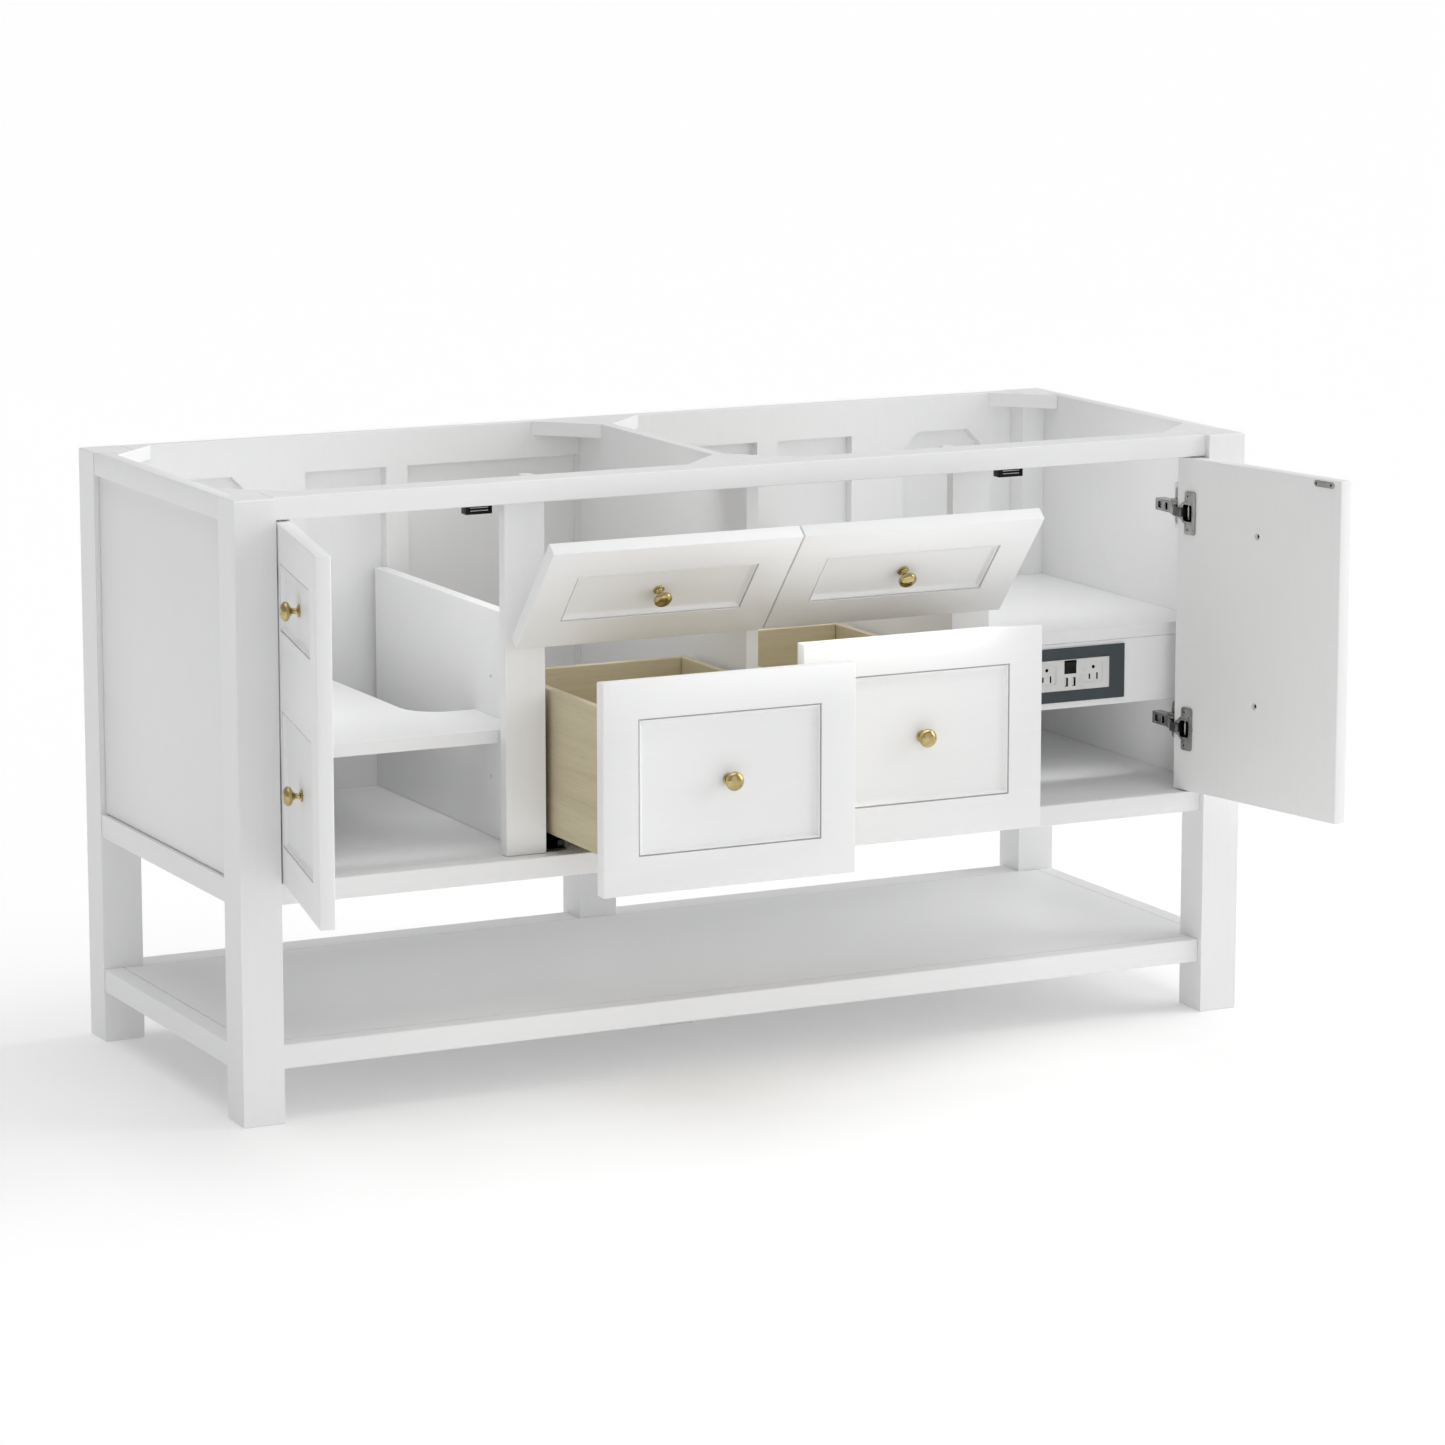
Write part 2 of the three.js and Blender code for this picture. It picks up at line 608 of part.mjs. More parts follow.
/** Hinge arm: barrel on the pin, gooseneck out of the cup, arm and mounting plate. */
function hingeArm(z) {
  const [px, py] = [PIN[0], back(PIN[1])];
  const seat = -LEG_IN + GAP;
  const barrel = rodZ(px, py, z - 6, z + 6, 2.6, 16);
  const neck = plateZ([
    [px, py - 1.3], [px + 14.6, py - 1.3], [px + 16.4, py + 1], [px + 16.4, py + 17],
    [px - 1, back(57)], [px - 1, back(ARM_END)], [seat + 2, back(ARM_END)], [seat + 2, back(56)],
    [px + 13.8, py + 15], [px + 13.8, py + 1.3], [px, py + 1.3],
  ], z - 5.5, z + 5.5, 0.4);
  const arm = block(seat + 2, px - 1, back(56), back(ARM_END), z - 9, z + 9, 0.8);
  const plate = block(seat, seat + 2.6, back(62), back(91), z - 27, z + 27, 0.5);
  const bore = rodZ(px, py, z - 8, z + 8, 1.6, 16);
  return subtract(unite(barrel, neck, arm, plate), bore);
}

const pinY = back(PIN[1]);
const leftSwing = (geometry) => swing(geometry, PIN[0], pinY, -LEFT_DOOR_OPEN);
const rightSwing = (geometry) => swing(mirrored(geometry), -PIN[0], pinY, RIGHT_DOOR_OPEN);

add('door_left', leftSwing(door()), 'white_paint');
add('door_right', rightSwing(door()), 'white_paint');
['lower', 'upper'].forEach((level, i) => {
  add(`door_left_knob_${level}`, leftSwing(knob(doorKnobX, KNOB_Z[i])), 'brass');
  add(`door_right_knob_${level}`, rightSwing(knob(doorKnobX, KNOB_Z[i])), 'brass');
});
['upper', 'lower'].forEach((level, i) => {
  add(`hinge_cup_left_${level}`, leftSwing(hingeCup(HINGE_Z[i])), 'nickel');
  add(`hinge_cup_right_${level}`, rightSwing(hingeCup(HINGE_Z[i])), 'nickel');
  add(`hinge_arm_left_${level}`, hingeArm(HINGE_Z[i]), 'nickel');
  add(`hinge_arm_right_${level}`, mirrored(hingeArm(HINGE_Z[i])), 'nickel');
});
addPair('door_catch', block(
  -HALF + 340, -HALF + 378, back(33), back(50), underRail - 14, underRail, 1,
), 'black_plastic');

const frontX = [-FRONT_EDGE, -FRONT_MID_GAP];
const frontPanelX = [frontX[0] + FRAME_W, frontX[1] - FRAME_W];
const frontMid = (frontX[0] + frontX[1]) / 2;

/** Left tilt-out front, closed. */
function tiltFront() {
  return framedFront(...frontX, ...TILT_FRONT_Z, [[...frontPanelX, ...panelSplit[1]]]);
}

const tipOut = (geometry) => tip(geometry, back(TILT_PIVOT[0]), TILT_PIVOT[1], TILT_OPEN);
addPair('tilt_front', tipOut(tiltFront()), 'white_paint');
addPair('tilt_front_knob', tipOut(knob(frontMid, KNOB_Z[1])), 'brass');

// ---------------------------------------------------------------- drawers
/** Left drawer front, closed. */
function drawerFront() {
  return framedFront(...frontX, ...DRAWER_FRONT_Z, [[...frontPanelX, ...panelSplit[0]]]);
}

/** Left drawer box, closed: four walls, and a bottom let in above their lower edge. */
function drawerBox() {
  const y0 = back(RAIL_SET + FRONT_T + GAP);
  const y1 = y0 + BOX_LENGTH;
  const [x0, x1] = BOX_X;
  const [z0, z1] = BOX_Z;
  return subtract(
    block(x0, x1, y0, y1, z0, z1),
    cutter(x0 + BOX_WALL, x1 - BOX_WALL, y0 + BOX_WALL, y1 - BOX_WALL, z0 + 20, z1 + 1),
    cutter(x0 + BOX_WALL, x1 - BOX_WALL, y0 + BOX_WALL, y1 + 1, z0 - 1, z0 + 12),
  );
}

for (const [side, out, place] of [
  ['left', LEFT_DRAWER_OUT, (geometry) => geometry],
  ['right', RIGHT_DRAWER_OUT, mirrored],
]) {
  add(`drawer_front_${side}`, place(drawerFront()).translate(0, -out, 0), 'white_paint');
  add(`drawer_box_${side}`, place(drawerBox()).translate(0, -out, 0), 'birch_ply');
  add(`drawer_knob_${side}`, place(knob(frontMid, KNOB_Z[0])).translate(0, -out, 0), 'brass');
}

export default group;
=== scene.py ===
"""Looks of the bathroom vanity cabinet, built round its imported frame.

Lengths in the classes are millimetres in the cabinet's own frame: +X to its right as seen from the
front, +Y to its back, +Z up, with the origin on the floor under its middle. Moving pieces are
modelled closed and then carried to their rest place by their joint.
"""

import json
import logging
import math
from dataclasses import dataclass, field
from enum import Enum
from typing import Any, Callable, Sequence

import bmesh
import bpy
from mathutils import Matrix, Vector

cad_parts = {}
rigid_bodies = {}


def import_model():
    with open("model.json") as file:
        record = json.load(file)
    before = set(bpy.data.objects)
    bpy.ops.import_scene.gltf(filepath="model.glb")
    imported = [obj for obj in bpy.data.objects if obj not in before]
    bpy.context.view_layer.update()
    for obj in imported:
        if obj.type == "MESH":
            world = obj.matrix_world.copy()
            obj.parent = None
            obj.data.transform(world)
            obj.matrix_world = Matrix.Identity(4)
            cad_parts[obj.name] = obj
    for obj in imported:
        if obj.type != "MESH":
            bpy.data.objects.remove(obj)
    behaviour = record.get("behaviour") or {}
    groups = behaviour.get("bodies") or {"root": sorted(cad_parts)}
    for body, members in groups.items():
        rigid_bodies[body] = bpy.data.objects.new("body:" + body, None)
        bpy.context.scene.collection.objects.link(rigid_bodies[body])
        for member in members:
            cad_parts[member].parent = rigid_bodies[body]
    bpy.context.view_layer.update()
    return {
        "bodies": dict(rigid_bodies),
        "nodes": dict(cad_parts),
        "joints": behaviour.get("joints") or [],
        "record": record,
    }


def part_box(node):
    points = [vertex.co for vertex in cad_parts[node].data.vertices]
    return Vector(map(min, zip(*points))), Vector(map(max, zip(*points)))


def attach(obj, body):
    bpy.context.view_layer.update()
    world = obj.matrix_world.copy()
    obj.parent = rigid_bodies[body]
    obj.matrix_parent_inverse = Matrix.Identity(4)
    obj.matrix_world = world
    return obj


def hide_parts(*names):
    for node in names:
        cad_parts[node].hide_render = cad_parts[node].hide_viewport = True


LOG = logging.getLogger("vanity")
MM = 0.001
Colour = tuple[float, float, float]
Row = tuple[float, float]
Point = tuple[float, float, float]
FaceTest = Callable[[Vector, Vector], bool]


class Body(Enum):
    """Bodies of the frame that pieces ride on."""

    CABINET = "cabinet"
    LEFT_DOOR = "left_door"
    RIGHT_DOOR = "right_door"
    LEFT_TILT = "left_tilt_front"
    RIGHT_TILT = "right_tilt_front"
    LEFT_DRAWER = "left_drawer"
    RIGHT_DRAWER = "right_drawer"


class Side(Enum):
    """Left or right half of the cabinet; the value is the sign of X."""

    LEFT = -1
    RIGHT = 1

    @property
    def word(self) -> str:
        """The side's name in piece names."""
        return self.name.lower()

    @property
    def turn(self) -> Matrix:
        """What carries a piece modelled on the left to this side."""
        return Matrix.Diagonal((float(-self.value), 1.0, 1.0, 1.0))


class Grain(Enum):
    """Direction along which wood or brush marks run, as the stretch of a pattern in X, Y and Z."""

    ALONG_X = (0.06, 1.0, 1.0)
    ALONG_Y = (1.0, 0.06, 1.0)
    ALONG_Z = (1.0, 1.0, 0.06)


class ClosedAt(Enum):
    """End of a joint's range at which its piece is closed."""

    LOW = 0
    HIGH = 1


# ------------------------------------------------------------------------------ finishes
class Recipe:
    """The node tree of one material."""

    def __init__(self, name: str) -> None:
        """Starts a material with a Principled shader wired to its output."""
        self.material = bpy.data.materials.new(name)
        self.material.use_nodes = True
        self.tree = self.material.node_tree
        self.tree.nodes.clear()
        self.shader = self.add("ShaderNodeBsdfPrincipled")
        output = self.add("ShaderNodeOutputMaterial")
        self.join(self.shader.outputs["BSDF"], output.inputs["Surface"])
        self.place = self.add("ShaderNodeTexCoord").outputs["Object"]

    def add(self, kind: str, **values: Any) -> bpy.types.Node:
        """Adds a node.

        Args:
            kind: Blender's name of the node type.
            values: socket values by name, with underscores for spaces.

        Returns:
            The new node.
        """
        node = self.tree.nodes.new(kind)
        for key, value in values.items():
            node.inputs[key.replace("_", " ")].default_value = value
        return node

    def join(self, source: bpy.types.NodeSocket, target: bpy.types.NodeSocket) -> None:
        """Wires one socket to another."""
        self.tree.links.new(source, target)

    def set(self, **values: Any) -> None:
        """Sets even values on the shader's own sockets."""
        for key, value in values.items():
            self.shader.inputs[key.replace("_", " ")].default_value = value

    def noise(self, scale: float, detail: float = 3.0, roughness: float = 0.55,
              stretch: Sequence[float] = (1.0, 1.0, 1.0), distortion: float = 0.0) -> bpy.types.NodeSocket:
        """Adds a noise on the piece's own coordinates.

        Args:
            scale: spots per metre.
            detail: how many finer layers it has.
            roughness: weight of the finer layers.
            stretch: factor on the scale along X, Y and Z.
            distortion: how much it swirls.

        Returns:
            The socket with the noise, from 0 to 1.
        """
        mapping = self.add("ShaderNodeMapping", Scale=tuple(stretch))
        self.join(self.place, mapping.inputs["Vector"])
        noise = self.add("ShaderNodeTexNoise", Scale=scale, Detail=detail, Roughness=roughness,
                         Distortion=distortion)
        self.join(mapping.outputs["Vector"], noise.inputs["Vector"])
        return noise.outputs["Fac"]

    def ramp(self, source: bpy.types.NodeSocket, low: float, high: float, to_low: float,
             to_high: float) -> bpy.types.NodeSocket:
        """Maps a span of values onto another, clamped.

        Returns:
            The socket with the mapped value.
        """
        node = self.add("ShaderNodeMapRange")
        for index, value in enumerate((low, high, to_low, to_high), start=1):
            node.inputs[index].default_value = value
        self.join(source, node.inputs[0])
        return node.outputs[0]

    def blend(self, factor: bpy.types.NodeSocket, first: Any, second: Any) -> bpy.types.NodeSocket:
        """Mixes two colours, each a colour or a socket.

        Returns:
            The socket with the mixed colour.
        """
        node = self.tree.nodes.new("ShaderNodeMix")
        node.data_type = "RGBA"
        self.join(factor, node.inputs[0])
        for socket, value in ((node.inputs[6], first), (node.inputs[7], second)):
            if isinstance(value, bpy.types.NodeSocket):
                self.join(value, socket)
            else:
                socket.default_value = (*value, 1.0)
        return node.outputs[2]

    def bumps(self, *layers: tuple[bpy.types.NodeSocket, float, float]) -> None:
        """Chains bump layers, each (height, strength, depth in metres), onto the shader."""
        normal = None
        for height, strength, depth in layers:
            node = self.add("ShaderNodeBump", Strength=strength, Distance=depth)
            self.join(height, node.inputs["Height"])
            if normal is not None:
                self.join(normal, node.inputs["Normal"])
            normal = node.outputs["Normal"]
        if normal is not None:
            self.join(normal, self.shader.inputs["Normal"])

    def colour(self, source: bpy.types.NodeSocket) -> None:
        """Wires the base colour."""
        self.join(source, self.shader.inputs["Base Color"])

    def roughness(self, source: bpy.types.NodeSocket) -> None:
        """Wires the roughness."""
        self.join(source, self.shader.inputs["Roughness"])


def scaled(colour: Colour, factor: float) -> Colour:
    """A colour made lighter or darker."""
    return (colour[0] * factor, colour[1] * factor, colour[2] * factor)


@dataclass(frozen=True)
class SatinPaint:
    """White satin paint, rolled and sprayed over wood whose grain just shows."""

    name: str
    grain: Grain
    tint: Colour = (0.885, 0.887, 0.889)

    def material(self) -> bpy.types.Material:
        """Builds the paint."""
        recipe = Recipe(self.name)
        cloud = recipe.noise(2.3, 2.0)
        grain = recipe.noise(170.0, 5.0, 0.6, self.grain.value, 0.4)
        stipple = recipe.noise(520.0, 2.0, 0.5)
        shade = recipe.blend(recipe.ramp(cloud, 0.3, 0.7, 0.0, 1.0), scaled(self.tint, 0.985), self.tint)
        recipe.colour(recipe.blend(recipe.ramp(grain, 0.35, 0.75, 0.0, 0.5), shade,
                                   scaled(self.tint, 0.965)))
        recipe.roughness(recipe.ramp(cloud, 0.25, 0.75, 0.36, 0.47))
        recipe.bumps((grain, 0.10, 0.0004), (stipple, 0.14, 0.0002))
        recipe.set(Specular_IOR_Level=0.45)
        return recipe.material


@dataclass(frozen=True)
class BirchPly:
    """Face veneer of clear-coated birch plywood."""

    name: str
    grain: Grain
    pale: Colour = (0.62, 0.55, 0.37)
    dark: Colour = (0.46, 0.385, 0.235)

    def material(self) -> bpy.types.Material:
        """Builds the veneer."""
        recipe = Recipe(self.name)
        figure = recipe.noise(34.0, 6.0, 0.62, self.grain.value, 1.1)
        fibre = recipe.noise(420.0, 4.0, 0.7, self.grain.value)
        blotch = recipe.noise(7.0, 3.0, 0.6)
        wood = recipe.blend(recipe.ramp(figure, 0.36, 0.72, 0.0, 0.62), self.pale, self.dark)
        wood = recipe.blend(recipe.ramp(fibre, 0.5, 0.78, 0.0, 0.42), wood, scaled(self.dark, 0.82))
        recipe.colour(recipe.blend(recipe.ramp(blotch, 0.35, 0.7, 0.0, 0.35), wood,
                                   scaled(self.pale, 0.86)))
        recipe.roughness(recipe.ramp(fibre, 0.2, 0.8, 0.42, 0.6))
        recipe.bumps((figure, 0.08, 0.0005), (fibre, 0.25, 0.0002))
        recipe.set(Coat_Weight=0.12, Coat_Roughness=0.35)
        return recipe.material


@dataclass(frozen=True)
class PlyEdge:
    """Edge of the plywood, with its plies side by side."""

    name: str
    across: Sequence[float]
    pale: Colour = (0.70, 0.62, 0.44)
    dark: Colour = (0.46, 0.37, 0.23)

    def material(self) -> bpy.types.Material:
        """Builds the striped edge."""
        recipe = Recipe(self.name)
        mapping = recipe.add("ShaderNodeMapping", Scale=tuple(self.across))
        recipe.join(recipe.place, mapping.inputs["Vector"])
        plies = recipe.add("ShaderNodeTexWave", Scale=105.0, Distortion=0.7, Detail=2.0, Detail_Scale=3.0)
        recipe.join(mapping.outputs["Vector"], plies.inputs["Vector"])
        pores = recipe.noise(900.0, 3.0, 0.6)
        wood = recipe.blend(recipe.ramp(plies.outputs["Fac"], 0.35, 0.75, 0.0, 0.55), self.pale, self.dark)
        recipe.colour(recipe.blend(recipe.ramp(pores, 0.5, 0.8, 0.0, 0.4), wood, scaled(self.dark, 0.8)))
        recipe.roughness(recipe.ramp(pores, 0.2, 0.8, 0.5, 0.68))
        recipe.bumps((plies.outputs["Fac"], 0.1, 0.0002), (pores, 0.25, 0.0002))
        return recipe.material


@dataclass(frozen=True)
class AgedBrass:
    """Brushed brass with a warm patina."""

    name: str = "aged_brass"
    bright: Colour = (0.56, 0.455, 0.215)
    patina: Colour = (0.30, 0.225, 0.085)

    def material(self) -> bpy.types.Material:
        """Builds the metal."""
        recipe = Recipe(self.name)
        bloom = recipe.noise(75.0, 4.0, 0.6, distortion=0.5)
        brush = recipe.noise(1500.0, 3.0, 0.6)
        recipe.colour(recipe.blend(recipe.ramp(bloom, 0.38, 0.72, 0.0, 0.75), self.bright, self.patina))
        recipe.roughness(recipe.ramp(bloom, 0.3, 0.7, 0.16, 0.3))
        recipe.bumps((bloom, 0.05, 0.0004), (brush, 0.12, 0.0001))
        recipe.set(Metallic=1.0)
        return recipe.material


@dataclass(frozen=True)
class PlatedSteel:
    """Plated steel, smudged and finely scratched."""

    name: str
    bright: Colour = (0.44, 0.438, 0.43)
    dull: Colour = (0.25, 0.247, 0.24)
    smooth: float = 0.16

    def material(self) -> bpy.types.Material:
        """Builds the metal."""
        recipe = Recipe(self.name)
        smudge = recipe.noise(60.0, 4.0, 0.6)
        scratch = recipe.noise(900.0, 3.0, 0.65, (0.15, 1.0, 1.0))
        recipe.colour(recipe.blend(recipe.ramp(smudge, 0.35, 0.7, 0.0, 0.7), self.bright, self.dull))
        recipe.roughness(recipe.ramp(smudge, 0.3, 0.7, self.smooth, self.smooth + 0.16))
        recipe.bumps((scratch, 0.1, 0.0001))
        recipe.set(Metallic=1.0)
        return recipe.material


@dataclass(frozen=True)
class MouldedPlastic:
    """Moulded plastic with a fine spark-eroded texture."""

    name: str
    tint: Colour
    gloss: float = 0.32
    texture: float = 0.12
    shine: float = 0.5

    def material(self) -> bpy.types.Material:
        """Builds the plastic."""
        recipe = Recipe(self.name)
        cloud = recipe.noise(28.0, 3.0)
        spark = recipe.noise(2400.0, 2.0, 0.6)
        recipe.colour(recipe.blend(recipe.ramp(cloud, 0.3, 0.7, 0.0, 1.0), scaled(self.tint, 0.94),
                                   scaled(self.tint, 1.04)))
        recipe.roughness(recipe.ramp(cloud, 0.3, 0.7, self.gloss, self.gloss + 0.1))
        recipe.bumps((spark, self.texture, 0.0001))
        recipe.set(Specular_IOR_Level=self.shine)
        return recipe.material


@dataclass
class Finishes:
    """All finishes of the cabinet, each built once."""

    paint_x: Any = field(default_factory=lambda: SatinPaint("satin_paint_lengthwise", Grain.ALONG_X))
    paint_z: Any = field(default_factory=lambda: SatinPaint("satin_paint_upright", Grain.ALONG_Z))
    ply_x: Any = field(default_factory=lambda: BirchPly("birch_veneer_lengthwise", Grain.ALONG_X))
    ply_y: Any = field(default_factory=lambda: BirchPly("birch_veneer_crosswise", Grain.ALONG_Y))
    edge_x: Any = field(default_factory=lambda: PlyEdge("ply_edge_lengthwise", (0.02, 1.0, 0.02)))
    edge_y: Any = field(default_factory=lambda: PlyEdge("ply_edge_crosswise", (1.0, 0.02, 0.02)))
    brass: Any = field(default_factory=AgedBrass)
    nickel: Any = field(default_factory=lambda: PlatedSteel("bright_nickel"))
    screw: Any = field(default_factory=lambda: PlatedSteel(
        "screw_steel", (0.50, 0.50, 0.48), (0.30, 0.30, 0.29), 0.26))
    gunmetal: Any = field(default_factory=lambda: PlatedSteel(
        "gunmetal_link", (0.15, 0.15, 0.152), (0.09, 0.09, 0.092), 0.24))
    blackened: Any = field(default_factory=lambda: PlatedSteel(
        "blackened_steel", (0.05, 0.05, 0.052), (0.028, 0.028, 0.03), 0.3))
    slate: Any = field(default_factory=lambda: MouldedPlastic(
        "slate_moulding", (0.050, 0.064, 0.071), 0.34, 0.2, 0.3))
    outlet: Any = field(default_factory=lambda: MouldedPlastic(
        "white_moulding", (0.70, 0.70, 0.69), 0.26, 0.1))
    # Black moulded plastic of the rocker and catch housings; the same black is also painted into screw
    # recesses, hinge wells, arm openings and the outlet strip's holes as painted shade.
    black: Any = field(default_factory=lambda: MouldedPlastic(
        "black_moulding", (0.006, 0.006, 0.007), 0.2, 0.1, 0.14))
    made: dict[str, bpy.types.Material] = field(default_factory=dict)

    def of(self, finish: Any) -> bpy.types.Material:
        """Returns a finish's material, built on first use."""
        if finish.name not in self.made:
            self.made[finish.name] = finish.material()
        return self.made[finish.name]

    def dress(self, piece: bpy.types.Object, finish: Any, degrees: float = 32.0) -> bpy.types.Object:
        """Shades a piece smooth except over sharp edges, and gives it a finish."""
        return Bench.paint(Bench.smooth(piece, degrees), self.of(finish))


# ------------------------------------------------------------------------------ workbench
class Bench:
    """Modelling steps on Blender's operators. Sizes are millimetres; meshes are metres."""

    @staticmethod
    def clear() -> None:
        """Leaves edit mode and deselects everything."""
        if bpy.context.object is not None and bpy.context.object.mode != "OBJECT":
            bpy.ops.object.mode_set(mode="OBJECT")
        bpy.ops.object.select_all(action="DESELECT")

    @classmethod
    def hold(cls, *pieces: bpy.types.Object) -> None:
        """Selects only these objects and makes the first one active."""
        cls.clear()
        for piece in pieces:
            piece.select_set(True)
        bpy.context.view_layer.objects.active = pieces[0]

    @classmethod
    def settle(cls, piece: bpy.types.Object) -> bpy.types.Object:
        """Moves the object's place, turn and scale into its mesh."""
        cls.hold(piece)
        bpy.ops.object.transform_apply(location=True, rotation=True, scale=True)
        return piece

    @classmethod
    def pick(cls, piece: bpy.types.Object, test: FaceTest) -> int:
        """Enters edit mode and selects the faces that pass a test of centre and normal.

        Args:
            piece: the object.
            test: takes a face's centre in millimetres and its normal.

        Returns:
            How many faces are selected.
        """
        cls.hold(piece)
        bpy.ops.object.mode_set(mode="EDIT")
        bpy.ops.mesh.select_mode(type="FACE")
        bpy.ops.mesh.select_all(action="DESELECT")
        mesh = bmesh.from_edit_mesh(piece.data)
        count = 0
        for face in mesh.faces:
            if test(face.calc_center_median() / MM, face.normal):
                face.select_set(True)
                count += 1
        bmesh.update_edit_mesh(piece.data)
        return count

    @classmethod
    def block(cls, name: str, low: Point, high: Point, ease: float = 0.5, steps: int = 2) -> bpy.types.Object:
        """A block between two corners with eased edges."""
        centre = [(a + b) / 2 * MM for a, b in zip(low, high)]
        size = [abs(b - a) * MM for a, b in zip(low, high)]
        cls.clear()
        bpy.ops.mesh.primitive_cube_add(size=1.0, location=centre, scale=size)
        piece = cls.settle(bpy.context.object)
        piece.name = piece.data.name = name
        if ease > 0:
            bpy.ops.object.mode_set(mode="EDIT")
            bpy.ops.mesh.select_mode(type="EDGE")
            bpy.ops.mesh.select_all(action="SELECT")
            bpy.ops.mesh.bevel(offset=ease * MM, segments=steps, affect="EDGES")
            bpy.ops.object.mode_set(mode="OBJECT")
        return piece

    @classmethod
    def plate(cls, name: str, low: Point, high: Point, normal: Point, radius: float,
              ease: float = 0.25) -> bpy.types.Object:
        """A flat plate with rounded corners, as seen along its normal.

        Args:
            name: object name.
            low: lowest corner.
            high: highest corner.
            normal: axis through the plate.
            radius: radius of its corners.
            ease: bevel of its rim.

        Returns:
            The plate.
        """
        piece = cls.block(name, low, high, 0.0)
        axis = Vector(normal)
        bpy.ops.object.mode_set(mode="EDIT")
        bpy.ops.mesh.select_mode(type="EDGE")
        bpy.ops.mesh.select_all(action="DESELECT")
        mesh = bmesh.from_edit_mesh(piece.data)
        for edge in mesh.edges:
            run = (edge.verts[1].co - edge.verts[0].co).normalized()
            edge.select_set(abs(run.dot(axis)) > 0.9)
        bmesh.update_edit_mesh(piece.data)
        bpy.ops.mesh.bevel(offset=radius * MM, segments=6, affect="EDGES")
        bpy.ops.object.mode_set(mode="OBJECT")
        return cls.soften(piece, ease) if ease > 0 else piece

    @classmethod
    def turned(cls, name: str, rows: Sequence[Row], segments: int = 40) -> bpy.types.Object:
        """A solid turned round Z from (radius, height) rows, closed at both ends."""
        cls.clear()
        radius, height = rows[0]
        bpy.ops.mesh.primitive_circle_add(vertices=segments, radius=radius * MM, fill_type="NGON",
                                          location=(0.0, 0.0, height * MM))
        piece = cls.settle(bpy.context.object)
        piece.name = piece.data.name = name
        bpy.ops.object.mode_set(mode="EDIT")
        bpy.ops.mesh.select_mode(type="FACE")
        bpy.ops.mesh.select_all(action="SELECT")
        for next_radius, next_height in rows[1:]:
            bpy.ops.mesh.extrude_region_move(
                TRANSFORM_OT_translate={"value": (0.0, 0.0, (next_height - height) * MM)})
            ratio = next_radius / radius
            bpy.ops.transform.resize(value=(ratio, ratio, 1.0), center_override=(0.0, 0.0, next_height * MM))
            radius, height = next_radius, next_height
        bpy.ops.mesh.select_all(action="SELECT")
        bpy.ops.mesh.normals_make_consistent(inside=False)
        bpy.ops.object.mode_set(mode="OBJECT")
        return piece

    @classmethod
    def strip(cls, name: str, path: Sequence[Row], low: float, high: float,
              thickness: float) -> bpy.types.Object:
        """A bent upright strip of sheet metal along a path of (x, y) points."""
        cls.clear()
        (x, y), height = path[0], (high - low) * MM
        bpy.ops.mesh.primitive_plane_add(size=height, location=(x * MM, y * MM, (low + high) / 2 * MM),
                                         rotation=(math.pi / 2, 0.0, 0.0))
        piece = cls.settle(bpy.context.object)
        piece.name = piece.data.name = name
        bpy.ops.object.mode_set(mode="EDIT")
        bpy.ops.mesh.select_mode(type="VERT")
        bpy.ops.mesh.select_all(action="DESELECT")
        mesh = bmesh.from_edit_mesh(piece.data)
        for vert in mesh.verts:
            vert.select_set(vert.co.x > x * MM)
        bmesh.update_edit_mesh(piece.data)
        bpy.ops.mesh.delete(type="VERT")
        bpy.ops.mesh.select_all(action="SELECT")
        bpy.ops.transform.translate(value=(height / 2, 0.0, 0.0))
        for next_x, next_y in path[1:]:
            bpy.ops.mesh.extrude_region_move(
                TRANSFORM_OT_translate={"value": ((next_x - x) * MM, (next_y - y) * MM, 0.0)})
            x, y = next_x, next_y
        bpy.ops.object.mode_set(mode="OBJECT")
        wall = piece.modifiers.new("wall", "SOLIDIFY")
        wall.thickness, wall.offset, wall.use_even_offset = thickness * MM, 0.0, True
        bpy.ops.object.modifier_apply(modifier=wall.name)
        return cls.outward(piece)

    @classmethod
    def outward(cls, piece: bpy.types.Object) -> bpy.types.Object:
        """Merges doubled points and turns every face outwards."""
        cls.pick(piece, lambda centre, normal: True)
        bpy.ops.mesh.select_all(action="SELECT")
        bpy.ops.mesh.remove_doubles(threshold=0.01 * MM)
        bpy.ops.mesh.normals_make_consistent(inside=False)
        bpy.ops.object.mode_set(mode="OBJECT")
        return piece

    @classmethod
    def soften(cls, piece: bpy.types.Object, width: float, steps: int = 2,
               degrees: float = 35.0) -> bpy.types.Object:
        """Rounds every edge sharper than an angle."""
        cls.hold(piece)
        edge = piece.modifiers.new("edge", "BEVEL")
        edge.width, edge.segments = width * MM, steps
        edge.limit_method, edge.angle_limit = "ANGLE", math.radians(degrees)
        edge.use_clamp_overlap = True
        bpy.ops.object.modifier_apply(modifier=edge.name)
        return piece

    @classmethod
    def cut(cls, piece: bpy.types.Object, tool: bpy.types.Object, unite: bool = False) -> bpy.types.Object:
        """Cuts a tool out of a piece, or joins it on, and removes the tool."""
        cls.hold(piece)
        boolean = piece.modifiers.new("cut", "BOOLEAN")
        boolean.operation = "UNION" if unite else "DIFFERENCE"
        boolean.object, boolean.solver = tool, "EXACT"
        bpy.ops.object.modifier_apply(modifier=boolean.name)
        bpy.data.objects.remove(tool)
        return piece

